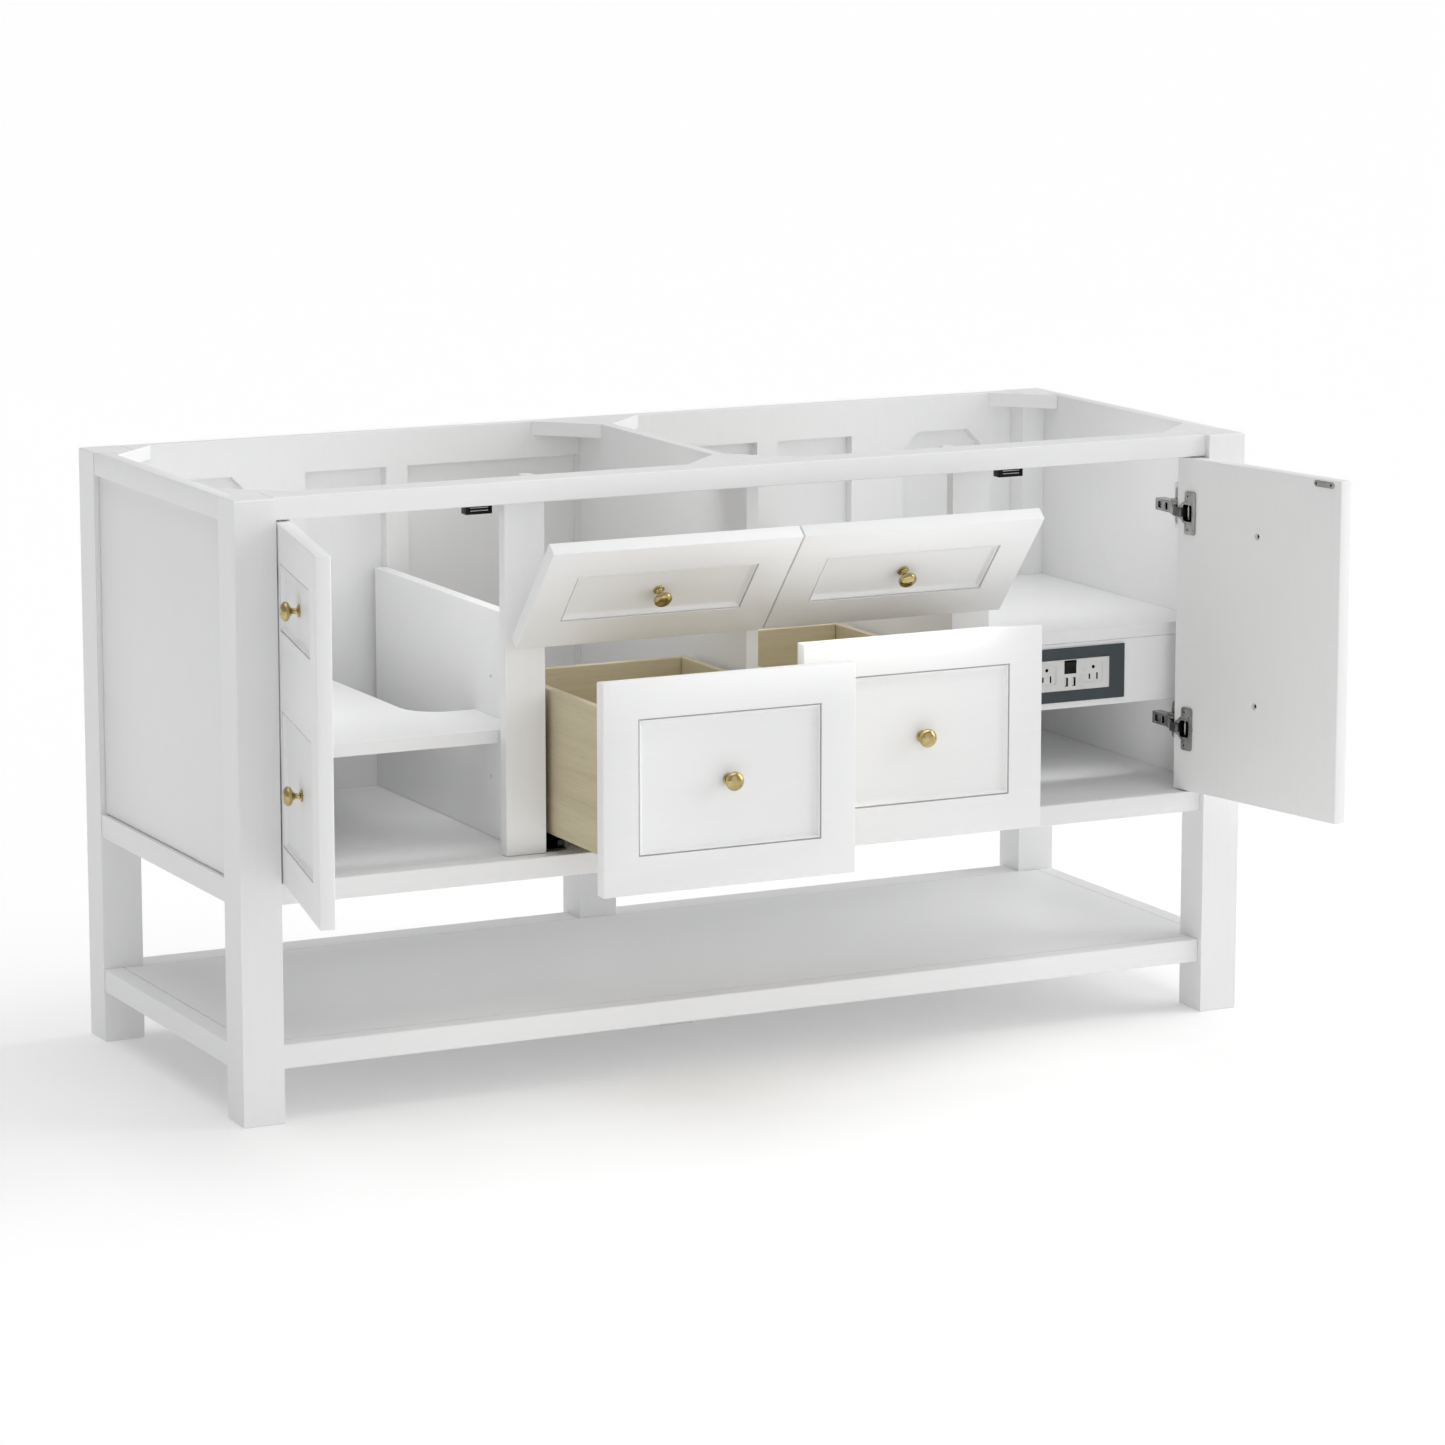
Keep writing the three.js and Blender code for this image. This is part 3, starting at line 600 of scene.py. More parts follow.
    @classmethod
    def hollow(cls, piece: bpy.types.Object, test: FaceTest, rim: float, depth: float) -> bpy.types.Object:
        """Sinks a panel into the faces that pass a test, inside a rim."""
        if cls.pick(piece, test):
            bpy.ops.mesh.inset(thickness=rim * MM, depth=0.0)
            bpy.ops.mesh.inset(thickness=0.15 * MM, depth=-depth * MM)
        bpy.ops.object.mode_set(mode="OBJECT")
        return piece

    @classmethod
    def sink(cls, piece: bpy.types.Object, test: FaceTest, rim: float,
             profile: Sequence[Row]) -> bpy.types.Object:
        """Insets the face that passes a test, then follows a moulding down to its panel.

        Args:
            piece: the object.
            test: picks the one face.
            rim: width of the frame that stays round the moulding.
            profile: (inward, depth) rows of the moulding, from the frame's face.

        Returns:
            The piece.
        """
        if cls.pick(piece, test):
            bpy.ops.mesh.inset(thickness=rim * MM, depth=0.0)
            inward, depth = 0.0, 0.0
            for next_inward, next_depth in profile:
                bpy.ops.mesh.inset(thickness=(next_inward - inward) * MM, depth=(depth - next_depth) * MM)
                inward, depth = next_inward, next_depth
        bpy.ops.object.mode_set(mode="OBJECT")
        return piece

    @classmethod
    def split(cls, piece: bpy.types.Object, height: float) -> bpy.types.Object:
        """Divides the faces that cross a height."""
        cls.pick(piece, lambda centre, normal: True)
        bpy.ops.mesh.bisect(plane_co=(0.0, 0.0, height * MM), plane_no=(0.0, 0.0, 1.0))
        bpy.ops.object.mode_set(mode="OBJECT")
        return piece

    @classmethod
    def smooth(cls, piece: bpy.types.Object, degrees: float = 32.0) -> bpy.types.Object:
        """Shades a piece smooth except over sharp edges."""
        cls.hold(piece)
        bpy.ops.object.shade_smooth_by_angle(angle=math.radians(degrees))
        return piece

    @classmethod
    def joined(cls, name: str, *pieces: bpy.types.Object) -> bpy.types.Object:
        """Makes one object of several."""
        cls.hold(*pieces)
        if len(pieces) > 1:
            bpy.ops.object.join()
        pieces[0].name = pieces[0].data.name = name
        return pieces[0]

    @staticmethod
    def moved(piece: bpy.types.Object, matrix: Matrix) -> bpy.types.Object:
        """Carries a mesh by a matrix in metres, and keeps its faces outward if that mirrors it."""
        piece.data.transform(matrix)
        if matrix.determinant() < 0:
            piece.data.flip_normals()
        piece.data.update()
        return piece

    @classmethod
    def copy(cls, piece: bpy.types.Object, name: str, matrix: Matrix) -> bpy.types.Object:
        """A copy with its own mesh, carried by a matrix."""
        twin = piece.copy()
        twin.data = piece.data.copy()
        twin.name = twin.data.name = name
        bpy.context.scene.collection.objects.link(twin)
        return cls.moved(twin, matrix)

    @staticmethod
    def paint(piece: bpy.types.Object, *materials: bpy.types.Material) -> bpy.types.Object:
        """Gives a piece its materials, the first one on every face."""
        piece.data.materials.clear()
        for material in materials:
            piece.data.materials.append(material)
        return piece

    @classmethod
    def paint_faces(cls, piece: bpy.types.Object, material: bpy.types.Material, test: FaceTest) -> None:
        """Puts a further material on the faces that pass a test."""
        index = piece.data.materials.find(material.name)
        if index < 0:
            piece.data.materials.append(material)
            index = len(piece.data.materials) - 1
        for face in piece.data.polygons:
            if test(face.center / MM, face.normal):
                face.material_index = index


def shift(x: float, y: float, z: float) -> Matrix:
    """A move in millimetres."""
    return Matrix.Translation((x * MM, y * MM, z * MM))


FACING_FRONT = Matrix.Rotation(math.pi / 2, 4, "X")  # local +Z to -Y
FACING_BACK = Matrix.Rotation(-math.pi / 2, 4, "X")  # local +Z to +Y
FACING_RIGHT = Matrix.Rotation(math.pi / 2, 4, "Y")  # local +Z to +X


# ------------------------------------------------------------------------------ the frame
class Frame:
    """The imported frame: its nodes' boxes and the way its joints carry closed pieces to rest."""

    def __init__(self, loaded: dict[str, Any]) -> None:
        """Keeps the loaded frame and its joints by name."""
        self.nodes: dict[str, bpy.types.Object] = loaded["nodes"]
        self.joints: dict[str, dict[str, Any]] = {j["name"]: j for j in loaded["joints"]}

    def to_rest(self, joint: str, closed: ClosedAt) -> Matrix:
        """How a joint carries a closed piece to its rest place.

        Args:
            joint: the joint's name.
            closed: the end of its range at which the piece is closed.

        Returns:
            The matrix, in metres.
        """
        entry = self.joints[joint]
        if entry["type"] == "slide":
            return Matrix.Translation(Vector(entry["axis"]) * -entry["range_m"][closed.value])
        place = Matrix.Translation(Vector(entry["pos_m"]))
        angle = -math.radians(entry["range_deg"][closed.value])
        return place @ Matrix.Rotation(angle, 4, Vector(entry["axis"])) @ place.inverted()

    def closed_box(self, node: str, to_rest: Matrix) -> tuple[Vector, Vector]:
        """A node's lowest and highest corner in millimetres when its joint is closed."""
        back = to_rest.inverted()
        points = [back @ v.co for v in self.nodes[node].data.vertices]
        low = Vector(min(p[i] for p in points) for i in range(3))
        high = Vector(max(p[i] for p in points) for i in range(3))
        return low / MM, high / MM

    @staticmethod
    def box(node: str) -> tuple[Vector, Vector]:
        """A node's lowest and highest corner at rest, in millimetres."""
        low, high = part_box(node)
        return low / MM, high / MM


@dataclass
class Shop:
    """What every sub-assembly needs: the frame and the finishes."""

    frame: Frame
    finishes: Finishes

    def fit(self, piece: bpy.types.Object, body: Body, slot: str, *nodes: str) -> bpy.types.Object:
        """Lets a finished piece ride on a body and stand for CAD nodes."""
        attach(piece, body.value)
        if nodes:
            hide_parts(*nodes)
        LOG.info("%s: %d faces on %s", piece.name, len(piece.data.polygons), body.value)
        return piece


# ------------------------------------------------------------------------------ small parts
@dataclass
class ScrewHead:
    """Flat countersunk or raised screw head with a cross recess."""

    finishes: Finishes
    radius: float = 3.4
    rise: float = 1.1
    slot_length: float = 3.6
    slot_width: float = 0.9
    master: bpy.types.Object | None = None

    def build(self) -> bpy.types.Object:
        """Models the head round Z with its seat at height 0."""
        rows = [(self.radius * 0.96, -0.3), (self.radius, 0.0), (self.radius * 0.93, self.rise * 0.5),
                (self.radius * 0.74, self.rise * 0.86), (self.radius * 0.4, self.rise)]
        head = Bench.turned("screw_head", rows, 24)
        for size in ((self.slot_length, self.slot_width), (self.slot_width, self.slot_length)):
            tool = Bench.block("recess", (-size[0] / 2, -size[1] / 2, self.rise * 0.3),
                               (size[0] / 2, size[1] / 2, self.rise + 1.0), 0.0)
            Bench.cut(head, tool)
        Bench.paint(head, self.finishes.of(self.finishes.screw))
        # Painted shade: the walls and floor of the cross recess are painted black.
        Bench.paint_faces(head, self.finishes.of(self.finishes.black), lambda centre, normal: (
            centre.z < self.rise * 0.8 and math.hypot(centre.x, centre.y) < self.slot_length * 0.52))
        return Bench.smooth(head, 30.0)

    def at(self, name: str, matrix: Matrix) -> bpy.types.Object:
        """A copy of the head, carried by a matrix."""
        if self.master is None:
            self.master = self.build()
        return Bench.copy(self.master, name, matrix)

    def discard(self) -> None:
        """Removes the model that the copies were made from."""
        if self.master is not None:
            bpy.data.objects.remove(self.master)
            self.master = None


@dataclass
class Knob:
    """Mushroom knob: rose, waisted stem and domed head, turned in one piece."""

    rose: tuple[Row, ...] = ((7.8, 0.0), (8.1, 0.35), (8.1, 1.2), (7.7, 1.8), (6.6, 2.1), (5.2, 2.5),
                             (4.4, 3.0))
    stem: tuple[Row, ...] = ((3.9, 4.2), (3.5, 5.6), (3.4, 7.2), (3.7, 8.6), (4.6, 9.9), (6.0, 10.9))
    head_radius: float = 12.8
    head_middle: float = 17.6
    head_back: float = 6.6
    head_front: float = 7.4
    steps: int = 10

    def rows(self) -> list[Row]:
        """The turning profile."""
        rows = list(self.rose) + list(self.stem)
        for i in range(1, self.steps + 1):
            angle = math.radians(-62.0 + 62.0 * i / self.steps)
            rows.append((self.head_radius * math.cos(angle),
                         self.head_middle + self.head_back * math.sin(angle)))
        for i in range(1, self.steps + 2):
            angle = math.radians(86.0 * i / (self.steps + 1))
            rows.append((self.head_radius * math.cos(angle) ** 0.9,
                         self.head_middle + self.head_front * math.sin(angle)))
        return rows

    def build(self) -> bpy.types.Object:
        """Models the knob round Z with the back of its rose at height 0."""
        return Bench.smooth(Bench.turned("knob", self.rows(), 48), 50.0)


@dataclass
class KnobSet:
    """The knobs of every front, and the screws that hold them on the doors and tilt-out fronts."""

    shop: Shop
    knob: Knob = field(default_factory=Knob)
    screw_depth: float = 3.5

    def build(self) -> None:
        """Makes each knob in the place of its CAD node."""
        screws = ScrewHead(self.shop.finishes, radius=3.5, rise=0.9, slot_length=4.6, slot_width=1.5)
        master = self.knob.build()
        Bench.paint(master, self.shop.finishes.of(self.shop.finishes.brass))
        frame = self.shop.frame
        plan = [
            (Body.LEFT_DOOR, "left_door_hinge", ClosedAt.HIGH, "door_left",
             ("door_left_knob_upper", "door_left_knob_lower")),
            (Body.RIGHT_DOOR, "right_door_hinge", ClosedAt.HIGH, "door_right",
             ("door_right_knob_upper", "door_right_knob_lower")),
            (Body.LEFT_TILT, "left_tilt_hinge", ClosedAt.LOW, "tilt_front_left", ("tilt_front_knob_left",)),
            (Body.RIGHT_TILT, "right_tilt_hinge", ClosedAt.LOW, "tilt_front_right",
             ("tilt_front_knob_right",)),
            (Body.LEFT_DRAWER, "left_drawer_slide", ClosedAt.HIGH, "", ("drawer_knob_left",)),
            (Body.RIGHT_DRAWER, "right_drawer_slide", ClosedAt.HIGH, "", ("drawer_knob_right",)),
        ]
        for body, joint, closed, panel, nodes in plan:
            to_rest = frame.to_rest(joint, closed)
            for node in nodes:
                low, high = frame.closed_box(node, to_rest)
                x, z = (low.x + high.x) / 2, (low.z + high.z) / 2
                knob = Bench.copy(master, f"brass_{node}", to_rest @ shift(x, high.y, z) @ FACING_FRONT)
                self.shop.fit(knob, body, "brass", node)
                if panel:
                    rear = frame.closed_box(panel, to_rest)[1].y
                    seat = to_rest @ shift(x, rear - self.screw_depth, z) @ FACING_BACK
                    self.shop.fit(screws.at(f"screw_of_{node}", seat), body, "nickel")
        bpy.data.objects.remove(master)
        screws.discard()


# ------------------------------------------------------------------------------ hinges
@dataclass
class CupHinge:
    """Concealed hinge of the left door, closed: flange and cup on the door, bracket on the side."""

    shop: Shop
    cup_x: float = -678.5
    cup_radius: float = 17.2
    cup_depth: float = 11.6
    flange_left: float = -5.0
    flange_half: float = 31.0
    flange_thick: float = 1.5
    bulge_half: float = 14.5
    bulge_end_half: float = 9.0
    well_low: Row = (-8.0, -12.5)
    well_high: Row = (10.4, 11.5)
    screw_x: float = 2.0
    screw_z: float = 24.0
    pin: Row = (-685.0, -271.5)
    seat_x: float = -703.7
    arm_front: float = -236.5
    arm_rear: float = -178.5
    arm_half: float = 8.6
    mount_half: float = 27.0
    mount_thick: float = 2.2
    mount_radius: float = 7.0
    mount_screw: Row = (16.5, 20.5)
    link_half: float = 6.4
    link_thick: float = 2.1

    def flange(self, face: float) -> bpy.types.Object:
        """Models the flange with its cup, well, pin and screws, at height 0 on the door's inner face.

        Args:
            face: Y of the door's inner face in millimetres.

        Returns:
            The piece, with the walls and floor of its well painted black as painted shade.
        """
        finishes = self.shop.finishes
        x = self.cup_x
        low, top = face + 0.3, face + 0.3 + self.flange_thick
        body = Bench.plate("flange", (x + self.flange_left, low, -self.flange_half),
                           (x + self.cup_radius, top, self.flange_half), (0, 1, 0), 4.5, 0.0)
        bulge = Bench.block("bulge", (x - self.cup_radius, low, -self.bulge_half),
                            (x + 2.0, top, self.bulge_half), 0.0)
        Bench.pick(bulge, lambda centre, normal: normal.x < -0.9)
        bpy.ops.transform.resize(value=(1.0, 1.0, self.bulge_end_half / self.bulge_half),
                                 center_override=(0.0, 0.0, 0.0))
        bpy.ops.object.mode_set(mode="OBJECT")
        Bench.cut(body, bulge, unite=True)
        disc = Bench.turned("disc", [(self.cup_radius - 0.2, 0.0),
                                     (self.cup_radius - 0.2, self.cup_depth + self.flange_thick - 0.7)], 48)
        Bench.moved(disc, shift(x, face - self.cup_depth + 0.3, 0) @ FACING_BACK)
        Bench.cut(body, disc, unite=True)
        well = Bench.plate("well", (x + self.well_low[0], face - self.cup_depth + 1.4, self.well_low[1]),
                           (x + self.well_high[0], top + 5.0, self.well_high[1]), (0, 1, 0), 3.0, 0.0)
        Bench.cut(body, well)
        Bench.soften(body, 0.35, 2, 40.0)
        Bench.smooth(body, 30.0)
        Bench.paint(body, finishes.of(finishes.nickel))
        inside = (x + self.well_low[0] - 0.3, x + self.well_high[0] + 0.3)
        # Painted shade: the walls and floor of the well are painted black.
        Bench.paint_faces(body, finishes.of(finishes.black), lambda centre, normal: (
            centre.y < face + 0.9 and inside[0] < centre.x < inside[1]
            and self.well_low[1] - 0.3 < centre.z < self.well_high[1] + 0.3
            and centre.y > face - self.cup_depth + 1.0))
        pin = Bench.turned("pin", [(1.1, -11.4), (1.3, -11.2), (1.3, 11.2), (1.1, 11.4)], 16)
        Bench.moved(pin, shift(self.pin[0], self.pin[1], 0))
        finishes.dress(pin, finishes.nickel)
        screws = ScrewHead(finishes, radius=3.5, rise=0.8, slot_length=4.0, slot_width=1.3)
        heads = [screws.at("head", shift(x + self.screw_x, top, z) @ FACING_BACK)
                 for z in (-self.screw_z, self.screw_z)]
        screws.discard()
        return Bench.joined("flange", body, pin, *heads)

    def bracket(self) -> bpy.types.Object:
        """Models the arm with its mounting plate, side link, barrel and screws, at height 0."""
        finishes = self.shop.finishes
        seat, (px, py) = self.seat_x, self.pin
        front, rear, top = self.arm_front, self.arm_rear, px - 1.0
        plate = Bench.plate("mount", (seat, front + 4, -self.mount_half),
                            (seat + self.mount_thick, front + 29, self.mount_half), (1, 0, 0),
                            self.mount_radius, 0.3)
        arm = Bench.block("arm", (seat + 2.0, front, -self.arm_half), (top, rear, self.arm_half), 0.0)
        openings = [(rear - 16.5, rear - 7.5, 4.4), (front + 25.0, front + 31.0, 5.0),
                    (front + 1.5, front + 8.0, 5.4)]
        for y0, y1, half in openings:
            tool = Bench.plate("opening", (top - 4.0, y0, -half), (top + 2.0, y1, half), (1, 0, 0), 1.6, 0.0)
            Bench.cut(arm, tool)
        Bench.soften(arm, 0.7)
        finishes.dress(arm, finishes.nickel)
        # Painted shade: faces along the arm's middle, in and round its openings, are painted black.
        Bench.paint_faces(arm, finishes.of(finishes.black), lambda centre, normal: (
            abs(centre.z) < 5.5 and seat + 6.0 < centre.x < top - 1.0))
        collar = Bench.block("collar", (top - 3.0, front + 9.5, -9.0), (top + 1.2, front + 17.5, 9.0), 1.2, 3)
        saddle = Bench.block("saddle", (seat + 2.0, front + 9, -11.5), (px - 6.0, front + 25, 11.5), 0.8)
        link = Bench.strip("link", [(px, py), (px + 13.4, py), (px + 15.2, py + 1.6), (px + 15.2, py + 16.6),
                                    (px - 3.4, front + 2.5)],
                           -self.link_half, self.link_half, self.link_thick)
        Bench.soften(link, 0.5)
        barrel = Bench.turned("barrel", [(2.3, -6.6), (2.6, -6.3), (2.6, 6.3), (2.3, 6.6)], 20)
        Bench.moved(barrel, shift(px, py, 0))
        for piece in (plate, collar, saddle, barrel):
            finishes.dress(piece, finishes.nickel)
        finishes.dress(link, finishes.gunmetal)
        screws = ScrewHead(finishes, radius=3.4, rise=0.9, slot_length=4.2, slot_width=1.3)
        along, out = self.mount_screw
        places = [(top - 2.6, rear - 12.0, 0.0)] + [
            (seat + self.mount_thick, front + along, z) for z in (out, -out)]
        heads = [screws.at("head", shift(*place) @ FACING_RIGHT) for place in places]
        screws.discard()
        return Bench.joined("bracket", plate, arm, collar, saddle, link, barrel, *heads)

    def build(self) -> None:
        """Places two hinges on each door."""
        frame = self.shop.frame
        closed = frame.to_rest("left_door_hinge", ClosedAt.HIGH)
        flange = self.flange(frame.closed_box("door_left", closed)[1].y)
        bracket = self.bracket()
        for side, body in ((Side.LEFT, Body.LEFT_DOOR), (Side.RIGHT, Body.RIGHT_DOOR)):
            swing = frame.to_rest(f"{side.word}_door_hinge", ClosedAt.HIGH)
            for level in ("upper", "lower"):
                node = f"hinge_arm_{side.word}_{level}"
                low, high = frame.box(node)
                height = shift(0, 0, (low.z + high.z) / 2)
                arm = Bench.copy(bracket, f"bracket_of_{side.word}_{level}_hinge", side.turn @ height)
                self.shop.fit(arm, Body.CABINET, "nickel", node)
                cup = Bench.copy(flange, f"flange_of_{side.word}_{level}_hinge", swing @ side.turn @ height)
                self.shop.fit(cup, body, "nickel", f"hinge_cup_{side.word}_{level}")
        for master in (flange, bracket):
            bpy.data.objects.remove(master)


@dataclass
class Catches:
    """Door catches under the top rail and the strike plates that they hold."""

    shop: Shop
    plate_half: float = 20.0
    plate_height: float = 8.6
    plate_thick: float = 1.0
    plate_drop: float = 7.0
    screw_out: float = 14.5

    def catch(self, side: Side) -> None:
        """Models one catch: housing and two pole plates."""
        finishes = self.shop.finishes
        node = f"door_catch_{side.word}"
        low, high = self.shop.frame.box(node)
        housing = Bench.block("housing", low, high, 1.0, 3)
        Bench.hollow(housing, lambda centre, normal: normal.y < -0.99, 2.6, 2.0)
        finishes.dress(housing, finishes.black)
        middle = (low.z + high.z) / 2
        poles = []
        for z in (middle - 2.6, middle + 1.4):
            pole = Bench.block("pole", (low.x + 6, low.y + 0.1, z), (high.x - 6, low.y + 4, z + 1.2), 0.25)
            poles.append(Bench.paint(pole, finishes.of(finishes.nickel)))
        piece = Bench.joined(f"catch_{side.word}", housing, *poles)
        self.shop.fit(piece, Body.CABINET, "black_plastic", node)

    def strike(self, side: Side, body: Body) -> None:
        """Models one strike plate with its two screws on a door's inner face."""
        finishes = self.shop.finishes
        swing = self.shop.frame.to_rest(f"{side.word}_door_hinge", ClosedAt.HIGH)
        door_high = self.shop.frame.closed_box(f"door_{side.word}", swing)[1]
        low, high = self.shop.frame.box(f"door_catch_{side.word}")
        x, y, z = (low.x + high.x) / 2, door_high.y, door_high.z - self.plate_drop
        plate = Bench.plate("strike", (x - self.plate_half, y, z - self.plate_height / 2),
                            (x + self.plate_half, y + self.plate_thick, z + self.plate_height / 2),
                            (0, 1, 0), self.plate_height / 2 - 0.05, 0.25)
        finishes.dress(plate, finishes.screw)
        screws = ScrewHead(finishes, radius=3.9, rise=1.2, slot_length=3.9, slot_width=1.7)
        heads = [screws.at("head", shift(x + out, y + self.plate_thick, z) @ FACING_BACK)
                 for out in (-self.screw_out, self.screw_out)]
        screws.discard()
        piece = Bench.joined(f"strike_plate_{side.word}", plate, *heads)
        self.shop.fit(Bench.moved(piece, swing), body, "nickel")

    def build(self) -> None:
        """Makes both catches and both strike plates."""
        for side, body in ((Side.LEFT, Body.LEFT_DOOR), (Side.RIGHT, Body.RIGHT_DOOR)):
            self.catch(side)
            self.strike(side, body)


# ------------------------------------------------------------------------------ fronts
@dataclass
class Fronts:
    """Doors, drawer fronts and tilt-out fronts: slabs with a quirked bead round each sunk panel."""

    shop: Shop
    ease: float = 1.5
    frame_width: float = 50.0
    middle_rail: tuple[float, float] = (604.5, 611.5)
    moulding: tuple[Row, ...] = ((0.3, 0.3), (0.4, 5.6), (2.0, 5.6), (2.1, 1.5), (2.6, 0.9), (3.4, 0.8),
                                 (4.0, 1.3), (4.6, 2.7), (5.4, 4.4), (6.6, 5.6), (8.2, 6.3), (9.5, 6.5))
    cup_x: float = -678.5
    cup: Row = (17.5, 12.0)
    counterbore: Row = (5.0, 3.6)

    def slab(self, node: str, to_rest: Matrix, splits: Sequence[float]) -> bpy.types.Object:
        """Models a closed front and sinks one panel in each division of its face.

        Args:
            node: the CAD front that gives its size.
            to_rest: how its joint carries it to rest.
            splits: heights that divide its face.

        Returns:
            The front.
        """
        low, high = self.shop.frame.closed_box(node, to_rest)
        piece = Bench.block(node, low, high, self.ease, 3)
        for height in splits:
            Bench.split(piece, height)
        edges = sorted([low.z, *splits, high.z])
        middle = (low.x + high.x) / 2
        for bottom, top in list(zip(edges, edges[1:]))[::2]:
            Bench.sink(piece, lambda centre, normal: (
                normal.y < -0.99 and bottom < centre.z < top and abs(centre.x - middle) < self.frame_width),
                self.frame_width - self.ease, self.moulding)
        return piece

    def bored(self, piece: bpy.types.Object, face: float, x: float, z: float, bore: Row) -> None:
        """Bores a round hole, (radius, depth), into a front's inner face."""
        radius, depth = bore
        tool = Bench.turned("bore", [(radius, 0.0), (radius, depth + 2.0)], 40)
        Bench.cut(piece, Bench.moved(tool, shift(x, face - depth, z) @ FACING_BACK))

    def build(self) -> None:
        """Models the left front of each kind, and places it and its mirror image."""
        frame, finishes = self.shop.frame, self.shop.finishes
        plan = [("door", "{}_door_hinge", ClosedAt.HIGH, self.middle_rail, finishes.paint_z,
                 (Body.LEFT_DOOR, Body.RIGHT_DOOR)),
                ("tilt_front", "{}_tilt_hinge", ClosedAt.LOW, (), finishes.paint_x,
                 (Body.LEFT_TILT, Body.RIGHT_TILT)),
                ("drawer_front", "{}_drawer_slide", ClosedAt.HIGH, (), finishes.paint_x,
                 (Body.LEFT_DRAWER, Body.RIGHT_DRAWER))]
        for kind, joint, closed, splits, finish, bodies in plan:
            to_rest = frame.to_rest(joint.format("left"), closed)
            master = self.slab(f"{kind}_left", to_rest, splits)
            face = frame.closed_box(f"{kind}_left", to_rest)[1].y
            if kind == "door":
                for level in ("upper", "lower"):
                    low, high = frame.box(f"hinge_arm_left_{level}")
                    self.bored(master, face, self.cup_x, (low.z + high.z) / 2, self.cup)
            if kind != "drawer_front":
                for node in [name for name in frame.nodes if name.startswith(f"{kind}_left_knob")
                             or name == f"{kind}_knob_left"]:
                    low, high = frame.closed_box(node, to_rest)
                    self.bored(master, face, (low.x + high.x) / 2, (low.z + high.z) / 2, self.counterbore)
            finishes.dress(master, finish, 30.0)
            for side, body in zip(Side, bodies):
                rest = frame.to_rest(joint.format(side.word), closed)
                piece = Bench.copy(master, f"framed_{kind}_{side.word}", rest @ side.turn)
                self.shop.fit(piece, body, "white_paint", f"{kind}_{side.word}")
            bpy.data.objects.remove(master)


@dataclass
class SideFrames:
    """Framed sides between the legs: a sharp recess with a shadow gap round its panel."""

    shop: Shop
    recess_z: tuple[float, float] = (325.0, 801.0)
    lip: float = 1.0
    depth: float = 6.0
    gap: Row = (2.2, 3.5)
    thick: float = 21.0
    hinge_block: Row = (33.7, 33.0)
    ease: float = 0.8

    def build(self) -> None:
        """Models the left side with its hinge blocks, and places it and its mirror image."""
        frame, finishes = self.shop.frame, self.shop.finishes
        low, high = frame.box("side_frame_left")
        master = Bench.block("side", low, (low.x + self.thick, high.y, high.z), self.ease, 2)
        z0, z1 = self.recess_z
        y0, y1 = low.y + self.lip, high.y - self.lip
        width, further = self.gap
        floor = low.x + self.depth + further
        Bench.cut(master, Bench.block("recess", (low.x - 1, y0, z0), (floor, y1, z1), 0.0))
        Bench.cut(master, Bench.block("panel", (low.x + self.depth, y0 + width, z0 + width),
                                      (floor + 1, y1 - width, z1 - width), 0.4), unite=True)
        length, half = self.hinge_block
        for level in ("upper", "lower"):
            arm_low, arm_high = frame.box(f"hinge_arm_left_{level}")
            z = (arm_low.z + arm_high.z) / 2
            Bench.cut(master, Bench.block("block", (low.x + self.thick - 1, low.y, z - half),
                                          (high.x, low.y + length, z + half), self.ease, 2), unite=True)
        finishes.dress(master, finishes.paint_z, 30.0)
        for side in Side:
            piece = Bench.copy(master, f"panelled_side_{side.word}", side.turn)
            self.shop.fit(piece, Body.CABINET, "white_paint", f"side_frame_{side.word}")
        bpy.data.objects.remove(master)


